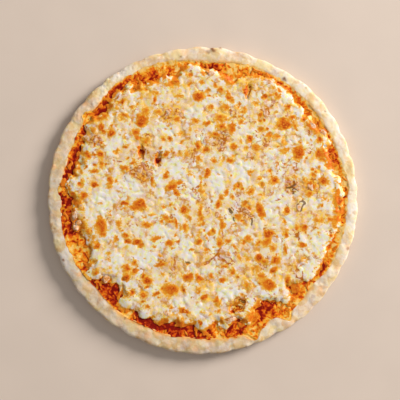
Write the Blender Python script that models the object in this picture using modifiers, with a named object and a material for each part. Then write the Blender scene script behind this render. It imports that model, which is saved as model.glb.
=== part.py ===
"""Round thin-crust pizza: a crimped dough base, a layer of tomato sauce, and melted cheese
with small pieces of smoked turkey sunk in it.

Metres, +Z up. The origin is on the flat underside, at the centre of the pizza's outline.
+X is the right of the pizza and +Y its far side.
"""
import math

import bmesh
import bpy
from mathutils import Vector, noise

MM = 0.001

# Driving sizes.
RIM_RADIUS = 151.9 * MM          # mean outer radius: a twelve-inch pizza
SAUCE_RADIUS = 139.3 * MM        # mean outer radius of the sauce, which is the rim's inner edge
CHEESE_RADIUS = 131.3 * MM       # mean outer radius of the cheese
DOUGH_TOP = 9.0 * MM             # thickness of the dough inside the rim
RIM_TOP = 11.4 * MM              # height of the rim's crest
SAUCE_THICKNESS = 1.3 * MM
CHEESE_THICKNESS = 2.5 * MM
GAP = 0.3 * MM                   # clearance between one layer and the next

SAUCE_BOTTOM = DOUGH_TOP + GAP
SAUCE_TOP = SAUCE_BOTTOM + SAUCE_THICKNESS
CHEESE_BOTTOM = SAUCE_TOP + GAP

# Crimps pressed round the edge by hand: rounded bumps with sharp valleys between them.
CRIMPS = 41
CRIMP_DEPTH = 1.4 * MM
CRIMP_RISE = 0.5 * MM
STEPS_PER_CRIMP = 4
STEPS = CRIMPS * STEPS_PER_CRIMP

# What each edge adds to its mean radius: (middle in degrees, outward in mm, half width in degrees).
RIM_SWELLS = ((5, 0.2, 24), (36, 0.4, 9), (45, 0.6, 7), (64, -1.9, 10), (84, -0.6, 7),
              (102, -1, 10), (134, -0.8, 9), (152, 1.8, 22), (188, 0.4, 12), (206, 0.9, 13),
              (232, -0.2, 20), (262, 0.6, 12), (300, -1.3, 13), (311, 1.4, 7), (345, 0.8, 12))
SAUCE_BAYS = ((6, 4, 4), (30, 1, 12), (55, 1, 8), (87, -4, 6), (115, 2.2, 7), (128, 2, 5),
              (144.5, 5, 1.6), (156, -1.2, 4), (176, 2, 1.8), (193, 1, 6), (222, -3.5, 8),
              (245, -3.6, 5), (264, -3.4, 8), (274, -1, 5), (290.5, 9.5, 1.8), (294.5, 2.4, 2),
              (300, -4.4, 8), (306, 10, 1.8), (323, -3, 5), (344, 2, 10))
CHEESE_LOBES = ((1, 12, 4), (349.5, 10, 4.5), (27.5, 7.5, 4), (40, -2, 5), (55, 5, 8), (67, 2, 3),
                (76, -6.5, 4), (94, 3, 4.5), (103, -4.5, 4), (115, -2.5, 2), (123, 3, 4),
                (143, 6, 5), (153, 2.5, 3), (173, 5.5, 4), (188, 2.5, 3.5), (199, -6.5, 5),
                (213, 5.5, 2.5), (224, -12, 3.5), (238, -1.5, 5), (254, -2, 5), (265, -6, 2.2),
                (275, -7, 2.2), (285, -7, 2), (290, 3, 2), (299, -14, 4), (308, 3, 2.2),
                (316, -10, 2.2), (330, 2.5, 4))
# Small waves along the cheese's edge: (waves round the edge, height in mm, phase in radians).
CHEESE_WAVES = ((23, 0.7, 0.4), (37, 0.8, 2.1), (53, 0.6, 4.0))
CHEESE_EDGE_POINTS = 200

# The rim's section, from the middle of the underside round the outside to the dough's middle.
# Across: 0 at the sauce's edge and 1 at the outer edge; up: from the floor, in mm.
RIM_SECTION = ((0.66, 0.0), (0.9, 1.0), (0.98, 2.8), (1.0, 5.2), (0.995, 7.8), (0.97, 9.4),
               (0.915, 10.3), (0.8, 10.8), (0.55, 11.2), (0.34, 11.4), (0.14, 11.3), (0.0, 10.9))
FLOOR_INSET = 2.6 * MM           # from the sauce's edge in to where the dough becomes level
RIM_WAVES = ((3, 0.35, 1.0), (7, 0.25, 2.6), (11, 0.2, 0.5))
RIM_BLISTER = (86.5, 1.0, 2.4)   # toasted bubble on the crest: degrees, rise in mm, half width

# Lumps of browned cheese: (x, y, radius) in mm.
BLISTERS = ((-61, 78, 7), (-100, -24, 7.5), (-62, -4, 7.5), (-77, -3, 5), (-31, -88, 8),
            (80, 75, 7.5), (94, 47, 6.5), (-30, 14, 7), (19, 77, 6), (-69, -42, 6.5),
            (64, -34, 6), (-75, -71, 6.5), (-67, -69, 5), (-55, -80, 6), (64, -83, 7),
            (-90, 66, 5.5), (-100, 72, 5), (-5, 102, 6), (42, 107, 5), (115, 59, 5),
            (115, 45, 5.5), (56, -8, 6), (-19, -10, 5), (4, 27, 5), (45, 61, 5), (-105, 15, 5),
            (118, 19, 5), (100, -27, 5), (70, -60, 5.5), (1, -96, 5), (13, -100, 5), (-35, 46, 5),
            (-46, -38, 5), (-14, -77, 5), (19, -78, 5), (-27, 117, 5), (99, -45, 5), (84, -10, 5))
BLISTER_RISE = 0.35 * MM

# Pieces of turkey under and between the cheese: (x, y, length, width, turn) in mm and degrees.
TURKEY = ((-126, -15, 12, 7, 70), (-121, -22, 11, 6, 20), (5, 60, 13, 8, 15), (8, 124, 12, 7, 160),
          (14, 117, 9, 7, 30), (62, 85, 11, 8, 40), (63, 116, 12, 7, 10), (35, 70, 9, 7, 120),
          (106, 74, 13, 7, 130), (118, 65, 9, 7, 80), (-52, 26, 12, 7, 150), (-62, 30, 11, 8, 30),
          (-71, 47, 12, 7, 10), (-104, 60, 10, 7, 45), (-32, 86, 12, 8, 170), (112, -58, 13, 8, 140),
          (95, -7, 11, 7, 65), (106, 14, 12, 8, 100), (27, -117, 13, 7, 15), (-36, -110, 12, 7, 120),
          (-95, -77, 11, 7, 50), (-125, -26, 9, 6, 100), (14, -14, 11, 8, 40), (43, -10, 11, 7, 150),
          (46, 45, 12, 7, 25), (93, 12, 9, 7, 10), (24, -54, 11, 7, 130), (-8, 63, 10, 7, 60))
TURKEY_RISE = 0.5 * MM

# Places where the sauce shows through the cheese: (x, y, half length, half width, turn).
OPENINGS = ((-60.7, 46.4, 4.6, 1.8, 95), (-44.4, 39.5, 4.6, 2.0, 80), (33.6, -103.7, 7.0, 3.6, 35),
            (44.4, 107.6, 4.8, 2.4, 80))
OPENING_POINTS = 12

CHEESE_CELL = 4.6 * MM           # pitch of the faces on top of the cheese
CHEESE_LUMP = 0.4 * MM
CHEESE_LUMP_PITCH = 9.0 * MM
CHEESE_EDGE_RUN = 5.0 * MM       # the cheese thins out over this width at its edge
CHEESE_EDGE_SHARE = 0.5
SAUCE_RING_INSETS = (22 * MM, 13 * MM, 8 * MM, 4.5 * MM)
SAUCE_EDGE_CLEARANCE = 0.4 * MM  # level gap between the sauce's edge and the rim's inner slope
SAUCE_LUMP = 0.35 * MM
SAUCE_LUMP_PITCH = 7.0 * MM
MERGE_DISTANCE = 0.2 * MM
CUTTER_REACH = 10 * MM

COLOURS = {"crust": (0.83, 0.68, 0.47), "sauce": (0.52, 0.13, 0.03), "cheese": (0.87, 0.72, 0.46)}


def turned_by(angle, other):
    """Degrees from one angle to another, between -180 and 180."""
    return (angle - other + 180.0) % 360.0 - 180.0


def swell(angle, middle, height, half_width):
    """A smooth bump of the given height in mm, centred on an angle."""
    return height * MM * math.exp(-0.5 * (turned_by(angle, middle) / half_width) ** 2)


def waves(angle, table):
    """Sum of whole waves round the pizza, given in mm."""
    turn = math.radians(angle)
    return sum(height * MM * math.sin(count * turn + phase) for count, height, phase in table)


def crimp(angle):
    """0 in a valley between two crimps and 1 on the round of a crimp."""
    return abs(math.sin(math.radians(angle) * CRIMPS / 2.0)) ** 0.8


def rim_radius(angle):
    base = RIM_RADIUS + sum(swell(angle, *item) for item in RIM_SWELLS)
    return base + CRIMP_DEPTH * (crimp(angle) - 0.6)


def sauce_radius(angle):
    return SAUCE_RADIUS + sum(swell(angle, *item) for item in SAUCE_BAYS)


def cheese_radius(angle):
    base = CHEESE_RADIUS + sum(swell(angle, *item) for item in CHEESE_LOBES)
    limit = sauce_radius(angle) - 1.5 * MM
    return min(base + waves(angle, CHEESE_WAVES), limit)


def outline_centre():
    """Middle of the outline's bounding box, which becomes the origin."""
    turns = [360.0 * step / STEPS for step in range(STEPS)]
    xs = [rim_radius(turn) * math.cos(math.radians(turn)) for turn in turns]
    ys = [rim_radius(turn) * math.sin(math.radians(turn)) for turn in turns]
    return Vector(((min(xs) + max(xs)) / 2.0, (min(ys) + max(ys)) / 2.0, 0.0))


def angle_of(x, y):
    return math.degrees(math.atan2(y, x)) % 360.0


def smooth(value):
    """0 below 0, 1 above 1 and a smooth step between."""
    value = min(max(value, 0.0), 1.0)
    return value * value * (3.0 - 2.0 * value)


def in_piece_axes(x, y, centre_x, centre_y, turn):
    """The point (x, y) in the axes of a piece that is centred and turned as given in mm."""
    dx, dy = x - centre_x * MM, y - centre_y * MM
    turn = math.radians(turn)
    return (dx * math.cos(turn) + dy * math.sin(turn), dy * math.cos(turn) - dx * math.sin(turn))


def make_collection(name):
    collection = bpy.data.collections.new(name)
    bpy.context.scene.collection.children.link(collection)
    return collection


def make_material(name, colour, roughness, subsurface):
    material = bpy.data.materials.new(name)
    material.use_nodes = True
    shader = material.node_tree.nodes["Principled BSDF"]
    shader.inputs["Base Color"].default_value = (*colour, 1.0)
    shader.inputs["Roughness"].default_value = roughness
    shader.inputs["Metallic"].default_value = 0.0
    shader.inputs["Subsurface Weight"].default_value = subsurface
    shader.inputs["Subsurface Scale"].default_value = 0.004
    return material


def mesh_of(source, collection, name):
    """A mesh object with the evaluated shape of another object, which it takes the place of."""
    bpy.context.view_layer.update()
    evaluated = source.evaluated_get(bpy.context.evaluated_depsgraph_get())
    mesh = bpy.data.meshes.new_from_object(evaluated)
    matrix = source.matrix_world.copy()
    bpy.data.objects.remove(source)
    result = bpy.data.objects.new(name, mesh)
    result.matrix_world = matrix
    collection.objects.link(result)
    return result


def turned_layer(name, profile, collection):
    """A closed turned body: a profile of (radius, height) points swept once round Z."""
    mesh = bpy.data.meshes.new(name)
    edges = [(index, index + 1) for index in range(len(profile) - 1)]
    mesh.from_pydata([(radius, 0.0, height) for radius, height in profile], edges, [])
    blank = bpy.data.objects.new(name + "_profile", mesh)
    collection.objects.link(blank)
    screw = blank.modifiers.new("turn", "SCREW")
    screw.axis = "Z"
    screw.steps = STEPS
    screw.render_steps = STEPS
    screw.use_merge_vertices = True
    screw.merge_threshold = 0.00001
    return mesh_of(blank, collection, name)


def finish(item, material, centre):
    """Centre the layer's outline on the origin, and give it its material and smooth faces."""
    item.data.transform(item.matrix_world)
    item.matrix_world.identity()
    for vertex in item.data.vertices:
        vertex.co -= centre
    item.data.materials.clear()
    item.data.materials.append(material)
    item.data.shade_smooth()
    item.data.set_sharp_from_angle(angle=math.radians(50.0))


def rim_point(across, angle):
    """Radius at a place across the rim: 0 at the sauce's edge, 1 at the outer edge."""
    inner = sauce_radius(angle)
    return inner + across * (rim_radius(angle) - inner)


def build_crust(collection):
    """Dough base with a raised rim. Each ring of the turned blank is moved to the real outline."""
    level_radius = SAUCE_RADIUS - FLOOR_INSET
    # The blank carries the place across the rim as a plain radius, which is then mapped.
    blank_width = RIM_RADIUS - SAUCE_RADIUS
    outside = [(SAUCE_RADIUS + across * blank_width, up * MM) for across, up in RIM_SECTION]
    profile = [(0.0, DOUGH_TOP), (level_radius, DOUGH_TOP)] + outside[::-1] + [(0.0, 0.0)]
    crust = turned_layer("crust", profile, collection)
    for vertex in crust.data.vertices:
        radius = math.hypot(vertex.co.x, vertex.co.y)
        if radius < level_radius / 2.0:
            continue
        angle = angle_of(vertex.co.x, vertex.co.y)
        across = (radius - SAUCE_RADIUS) / blank_width
        if across < -0.001:
            new_radius = sauce_radius(angle) - FLOOR_INSET
        else:
            new_radius = rim_point(across, angle)
        height = vertex.co.z
        if height > DOUGH_TOP + MM:
            share = smooth((height - DOUGH_TOP) / (RIM_TOP - DOUGH_TOP))
            rise = waves(angle, RIM_WAVES) + CRIMP_RISE * (crimp(angle) - 0.6)
            height += share * (rise + swell(angle, *RIM_BLISTER))
        vertex.co *= new_radius / radius
        vertex.co.z = height
    return crust


def build_sauce(collection):
    """Thin layer in the dough's recess, with a rough top where it shows outside the cheese."""
    slope = (RIM_SECTION[-1][1] * MM - DOUGH_TOP) / FLOOR_INSET
    bottom_inset = FLOOR_INSET + SAUCE_EDGE_CLEARANCE
    top_inset = bottom_inset - SAUCE_THICKNESS / slope
    rings = [(SAUCE_RADIUS - inset, SAUCE_TOP) for inset in (*SAUCE_RING_INSETS, top_inset)]
    edge = (SAUCE_RADIUS - bottom_inset, SAUCE_BOTTOM)
    profile = [(0.0, SAUCE_TOP), *rings, edge, (0.0, SAUCE_BOTTOM)]
    sauce = turned_layer("tomato_sauce", profile, collection)
    for vertex in sauce.data.vertices:
        radius = math.hypot(vertex.co.x, vertex.co.y)
        if radius < SAUCE_RADIUS / 2.0:
            continue
        angle = angle_of(vertex.co.x, vertex.co.y)
        new_radius = sauce_radius(angle) + radius - SAUCE_RADIUS
        shows = new_radius > cheese_radius(angle) + 2 * MM
        on_top = vertex.co.z > SAUCE_TOP - SAUCE_THICKNESS / 2.0
        at_edge = radius > SAUCE_RADIUS - 4 * MM
        vertex.co *= new_radius / radius
        vertex.co.z = SAUCE_TOP if on_top else SAUCE_BOTTOM
        if shows and on_top and not at_edge:
            place = Vector((vertex.co.x, vertex.co.y, 0.0)) / SAUCE_LUMP_PITCH
            vertex.co.z += SAUCE_LUMP * noise.noise(place)
    return sauce


def cheese_rise(x, y):
    """Height of the cheese's top over its own underside."""
    angle = angle_of(x, y)
    inset = cheese_radius(angle) - math.hypot(x, y)
    for centre_x, centre_y, half_length, half_width, turn in OPENINGS:
        along, over = in_piece_axes(x, y, centre_x, centre_y, turn)
        reach = math.hypot(along / (half_length * MM), over / (half_width * MM)) - 1.0
        inset = min(inset, reach * half_width * MM)
    edge = CHEESE_EDGE_SHARE + (1.0 - CHEESE_EDGE_SHARE) * smooth(inset / CHEESE_EDGE_RUN)
    lump = CHEESE_LUMP * noise.noise(Vector((x, y, 0.0)) / CHEESE_LUMP_PITCH)
    blister = 0.0
    for centre_x, centre_y, radius in BLISTERS:
        away = math.hypot(x - centre_x * MM, y - centre_y * MM) / (radius * MM)
        blister = max(blister, BLISTER_RISE * smooth(1.6 - 1.3 * away))
    turkey = 0.0
    for centre_x, centre_y, length, width, turn in TURKEY:
        along, over = in_piece_axes(x, y, centre_x, centre_y, turn)
        away = max(abs(along) / (length * MM / 2.0), abs(over) / (width * MM / 2.0))
        turkey = max(turkey, TURKEY_RISE * smooth(2.2 - 1.5 * away))
    return edge * (CHEESE_THICKNESS + lump + max(blister, turkey))


def cheese_outline(collection):
    """Flat outline of the cheese with its openings, extruded into a prism that trims the slab."""
    curve = bpy.data.curves.new("cheese_outline", "CURVE")
    curve.dimensions = "2D"
    curve.fill_mode = "BOTH"
    curve.extrude = CUTTER_REACH
    loops = []
    turns = [360.0 * step / CHEESE_EDGE_POINTS for step in range(CHEESE_EDGE_POINTS)]
    loops.append([(cheese_radius(turn) * math.cos(math.radians(turn)),
                   cheese_radius(turn) * math.sin(math.radians(turn))) for turn in turns])
    for centre_x, centre_y, half_length, half_width, turn in OPENINGS:
        cos_turn, sin_turn = math.cos(math.radians(turn)), math.sin(math.radians(turn))
        loop = []
        for step in range(OPENING_POINTS):
            around = 2.0 * math.pi * step / OPENING_POINTS
            along, over = half_length * math.cos(around), half_width * math.sin(around)
            loop.append(((centre_x + along * cos_turn - over * sin_turn) * MM,
                         (centre_y + along * sin_turn + over * cos_turn) * MM))
        loops.append(loop)
    for loop in loops:
        spline = curve.splines.new("POLY")
        spline.points.add(len(loop) - 1)
        spline.use_cyclic_u = True
        for point, (x, y) in zip(spline.points, loop):
            point.co = (x, y, 0.0, 1.0)
    flat = bpy.data.objects.new("cheese_outline_curve", curve)
    flat.location.z = CHEESE_BOTTOM
    collection.objects.link(flat)
    cutter = mesh_of(flat, collection, "cheese_outline")
    bm = bmesh.new()
    bm.from_mesh(cutter.data)
    bmesh.ops.remove_doubles(bm, verts=bm.verts, dist=0.00001)
    bmesh.ops.recalc_face_normals(bm, faces=bm.faces)
    bm.to_mesh(cutter.data)
    bm.free()
    cutter.hide_render = True
    cutter.display_type = "WIRE"
    return cutter


def cheese_slab(collection):
    """Square slab with an even grid of faces on top and one face below."""
    side = 2.0 * (SAUCE_RADIUS + CHEESE_CELL)
    cells = round(side / CHEESE_CELL)
    bm = bmesh.new()
    bmesh.ops.create_grid(bm, x_segments=cells, y_segments=cells, size=side / 2.0)
    bmesh.ops.translate(bm, verts=bm.verts, vec=(0.0, 0.0, CHEESE_BOTTOM + CHEESE_THICKNESS))
    border = [edge for edge in bm.edges if edge.is_boundary]
    wall = bmesh.ops.extrude_edge_only(bm, edges=border)["geom"]
    lower = [item for item in wall if isinstance(item, bmesh.types.BMVert)]
    bmesh.ops.translate(bm, verts=lower, vec=(0.0, 0.0, -CHEESE_THICKNESS))
    bmesh.ops.contextual_create(bm, geom=[edge for edge in bm.edges if edge.is_boundary])
    bmesh.ops.recalc_face_normals(bm, faces=bm.faces)
    mesh = bpy.data.meshes.new("melted_cheese")
    bm.to_mesh(mesh)
    bm.free()
    slab = bpy.data.objects.new("melted_cheese_slab", mesh)
    collection.objects.link(slab)
    return slab


def build_cheese(collection, cutters):
    """Slab trimmed to the lobed outline, with lumps, browned blisters and turkey in relief."""
    slab = cheese_slab(collection)
    trim = slab.modifiers.new("outline", "BOOLEAN")
    trim.operation = "INTERSECT"
    trim.solver = "EXACT"
    trim.object = cheese_outline(cutters)
    cheese = mesh_of(slab, collection, "melted_cheese")
    bm = bmesh.new()
    bm.from_mesh(cheese.data)
    bmesh.ops.remove_doubles(bm, verts=bm.verts, dist=MERGE_DISTANCE)
    top = CHEESE_BOTTOM + CHEESE_THICKNESS / 2.0
    for vertex in bm.verts:
        if vertex.co.z > top:
            vertex.co.z = CHEESE_BOTTOM + cheese_rise(vertex.co.x, vertex.co.y)
    bmesh.ops.triangulate(bm, faces=bm.faces)
    bm.to_mesh(cheese.data)
    bm.free()
    return cheese


def main():
    for item in list(bpy.data.objects):
        bpy.data.objects.remove(item)
    pizza = make_collection("smoked_turkey_pizza")
    cutters = make_collection("cutters")
    centre = outline_centre()
    crust = build_crust(pizza)
    sauce = build_sauce(pizza)
    cheese = build_cheese(pizza, cutters)
    finish(crust, make_material("baked_dough", COLOURS["crust"], 0.75, 0.1), centre)
    finish(sauce, make_material("tomato_sauce", COLOURS["sauce"], 0.35, 0.1), centre)
    finish(cheese, make_material("melted_cheese", COLOURS["cheese"], 0.4, 0.2), centre)


main()
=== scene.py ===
import math
import random
from collections import namedtuple

import bpy
import numpy as np
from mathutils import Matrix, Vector, kdtree


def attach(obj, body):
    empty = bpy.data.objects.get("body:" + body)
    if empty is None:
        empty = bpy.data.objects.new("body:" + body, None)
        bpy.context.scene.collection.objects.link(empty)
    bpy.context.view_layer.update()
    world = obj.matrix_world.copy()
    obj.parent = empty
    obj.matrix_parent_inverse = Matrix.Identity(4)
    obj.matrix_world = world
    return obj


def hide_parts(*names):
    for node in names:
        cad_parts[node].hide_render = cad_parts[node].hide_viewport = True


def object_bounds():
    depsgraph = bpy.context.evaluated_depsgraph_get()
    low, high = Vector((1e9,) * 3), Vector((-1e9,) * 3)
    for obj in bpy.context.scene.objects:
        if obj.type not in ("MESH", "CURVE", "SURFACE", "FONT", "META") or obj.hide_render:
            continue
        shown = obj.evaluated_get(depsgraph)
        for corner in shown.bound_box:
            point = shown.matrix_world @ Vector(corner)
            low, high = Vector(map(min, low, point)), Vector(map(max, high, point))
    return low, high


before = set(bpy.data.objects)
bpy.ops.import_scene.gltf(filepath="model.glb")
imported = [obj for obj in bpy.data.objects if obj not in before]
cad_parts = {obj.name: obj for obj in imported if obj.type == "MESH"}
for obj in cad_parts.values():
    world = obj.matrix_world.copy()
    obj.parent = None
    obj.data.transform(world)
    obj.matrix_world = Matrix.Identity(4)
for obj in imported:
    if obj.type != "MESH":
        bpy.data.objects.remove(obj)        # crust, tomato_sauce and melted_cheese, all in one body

CAD_BOX = [list(corner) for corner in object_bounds()]
MM = 0.001
BODY = "root"

# ---------------------------------------------------------------- sizes and places
# Most of them are the part's own; at the cheese's edge and openings the looks differ a little.
RIM_RADIUS = 151.9 * MM
SAUCE_RADIUS = 139.3 * MM
CHEESE_RADIUS = 131.3 * MM
DOUGH_TOP = 9.0 * MM
RIM_TOP = 11.4 * MM
SAUCE_TOP = 10.6 * MM
CHEESE_BOTTOM = 10.9 * MM
CHEESE_MARGIN = 1.5 * MM         # least width of open sauce beyond the cheese
CRIMPS = 41
CRIMP_DEPTH = 1.4 * MM
CRIMP_RISE = 0.5 * MM
CRIMP_MIDDLE = 0.6               # the crimp's own share at which the rim has its mean radius
STEPS_PER_CRIMP = 4
FLOOR_INSET = 2.6 * MM           # from the sauce's edge in to where the dough becomes level

# What each edge adds to its mean radius: (middle in degrees, outward in mm, half width in degrees).
RIM_SWELLS = ((5, 0.2, 24), (36, 0.4, 9), (45, 0.6, 7), (64, -1.9, 10), (84, -0.6, 7),
              (102, -1, 10), (134, -0.8, 9), (152, 1.8, 22), (188, 0.4, 12), (206, 0.9, 13),
              (232, -0.2, 20), (262, 0.6, 12), (300, -1.3, 13), (311, 1.4, 7), (345, 0.8, 12))
SAUCE_BAYS = ((6, 4, 4), (30, 1, 12), (55, 1, 8), (87, -4, 6), (115, 2.2, 7), (128, 2, 5),
              (144.5, 5, 1.6), (156, -1.2, 4), (176, 2, 1.8), (193, 1, 6), (222, -3.5, 8),
              (245, -3.6, 5), (264, -3.4, 8), (274, -1, 5), (290.5, 9.5, 1.8), (294.5, 2.4, 2),
              (300, -4.4, 8), (306, 10, 1.8), (323, -3, 5), (344, 2, 10))
CHEESE_LOBES = ((2, 13, 4.5), (10, 4, 3), (350, 12, 4.5), (27.5, 8.5, 4), (40, 2, 5), (55, 7, 8),
                (67, 2, 3), (76, -4.5, 4), (88, -2.5, 2.5), (95, 5, 4), (103, -4.5, 4), (115, -2.5, 2),
                (123, 3, 4), (130, 4, 3), (144, 7.5, 5), (153, 2.5, 3), (173, 5.5, 4), (188, 1, 3.5),
                (199, -6.5, 5), (214.5, 6, 2), (224, -12, 3.5), (238, -1.5, 5), (254, -2, 5),
                (265, -6, 2.2), (275, -7, 2.2), (285, -7, 2), (290, 3, 2), (299, -14, 4),
                (308, 1.5, 2.2), (316, -10, 2.2), (330, 2.5, 4))
# Small waves round an edge: (waves in a turn, height in mm, phase in radians).
CHEESE_WAVES = ((23, 0.7, 0.4), (37, 0.8, 2.1), (53, 0.6, 4.0))
RIM_WAVES = ((3, 0.35, 1.0), (7, 0.25, 2.6), (11, 0.2, 0.5))
RIM_BLISTER = (86.5, 1.0, 2.4)   # toasted bubble on the crest: degrees, rise in mm, half width
# Across the rim, 0 at the sauce's edge and 1 outside; up from the floor in mm.
RIM_SECTION = ((0.66, 0.0), (0.9, 1.0), (0.98, 2.8), (1.0, 5.2), (0.995, 7.8), (0.97, 9.4),
               (0.915, 10.3), (0.8, 10.8), (0.55, 11.2), (0.34, 11.4), (0.14, 11.37), (0.0, 11.15))

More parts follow.
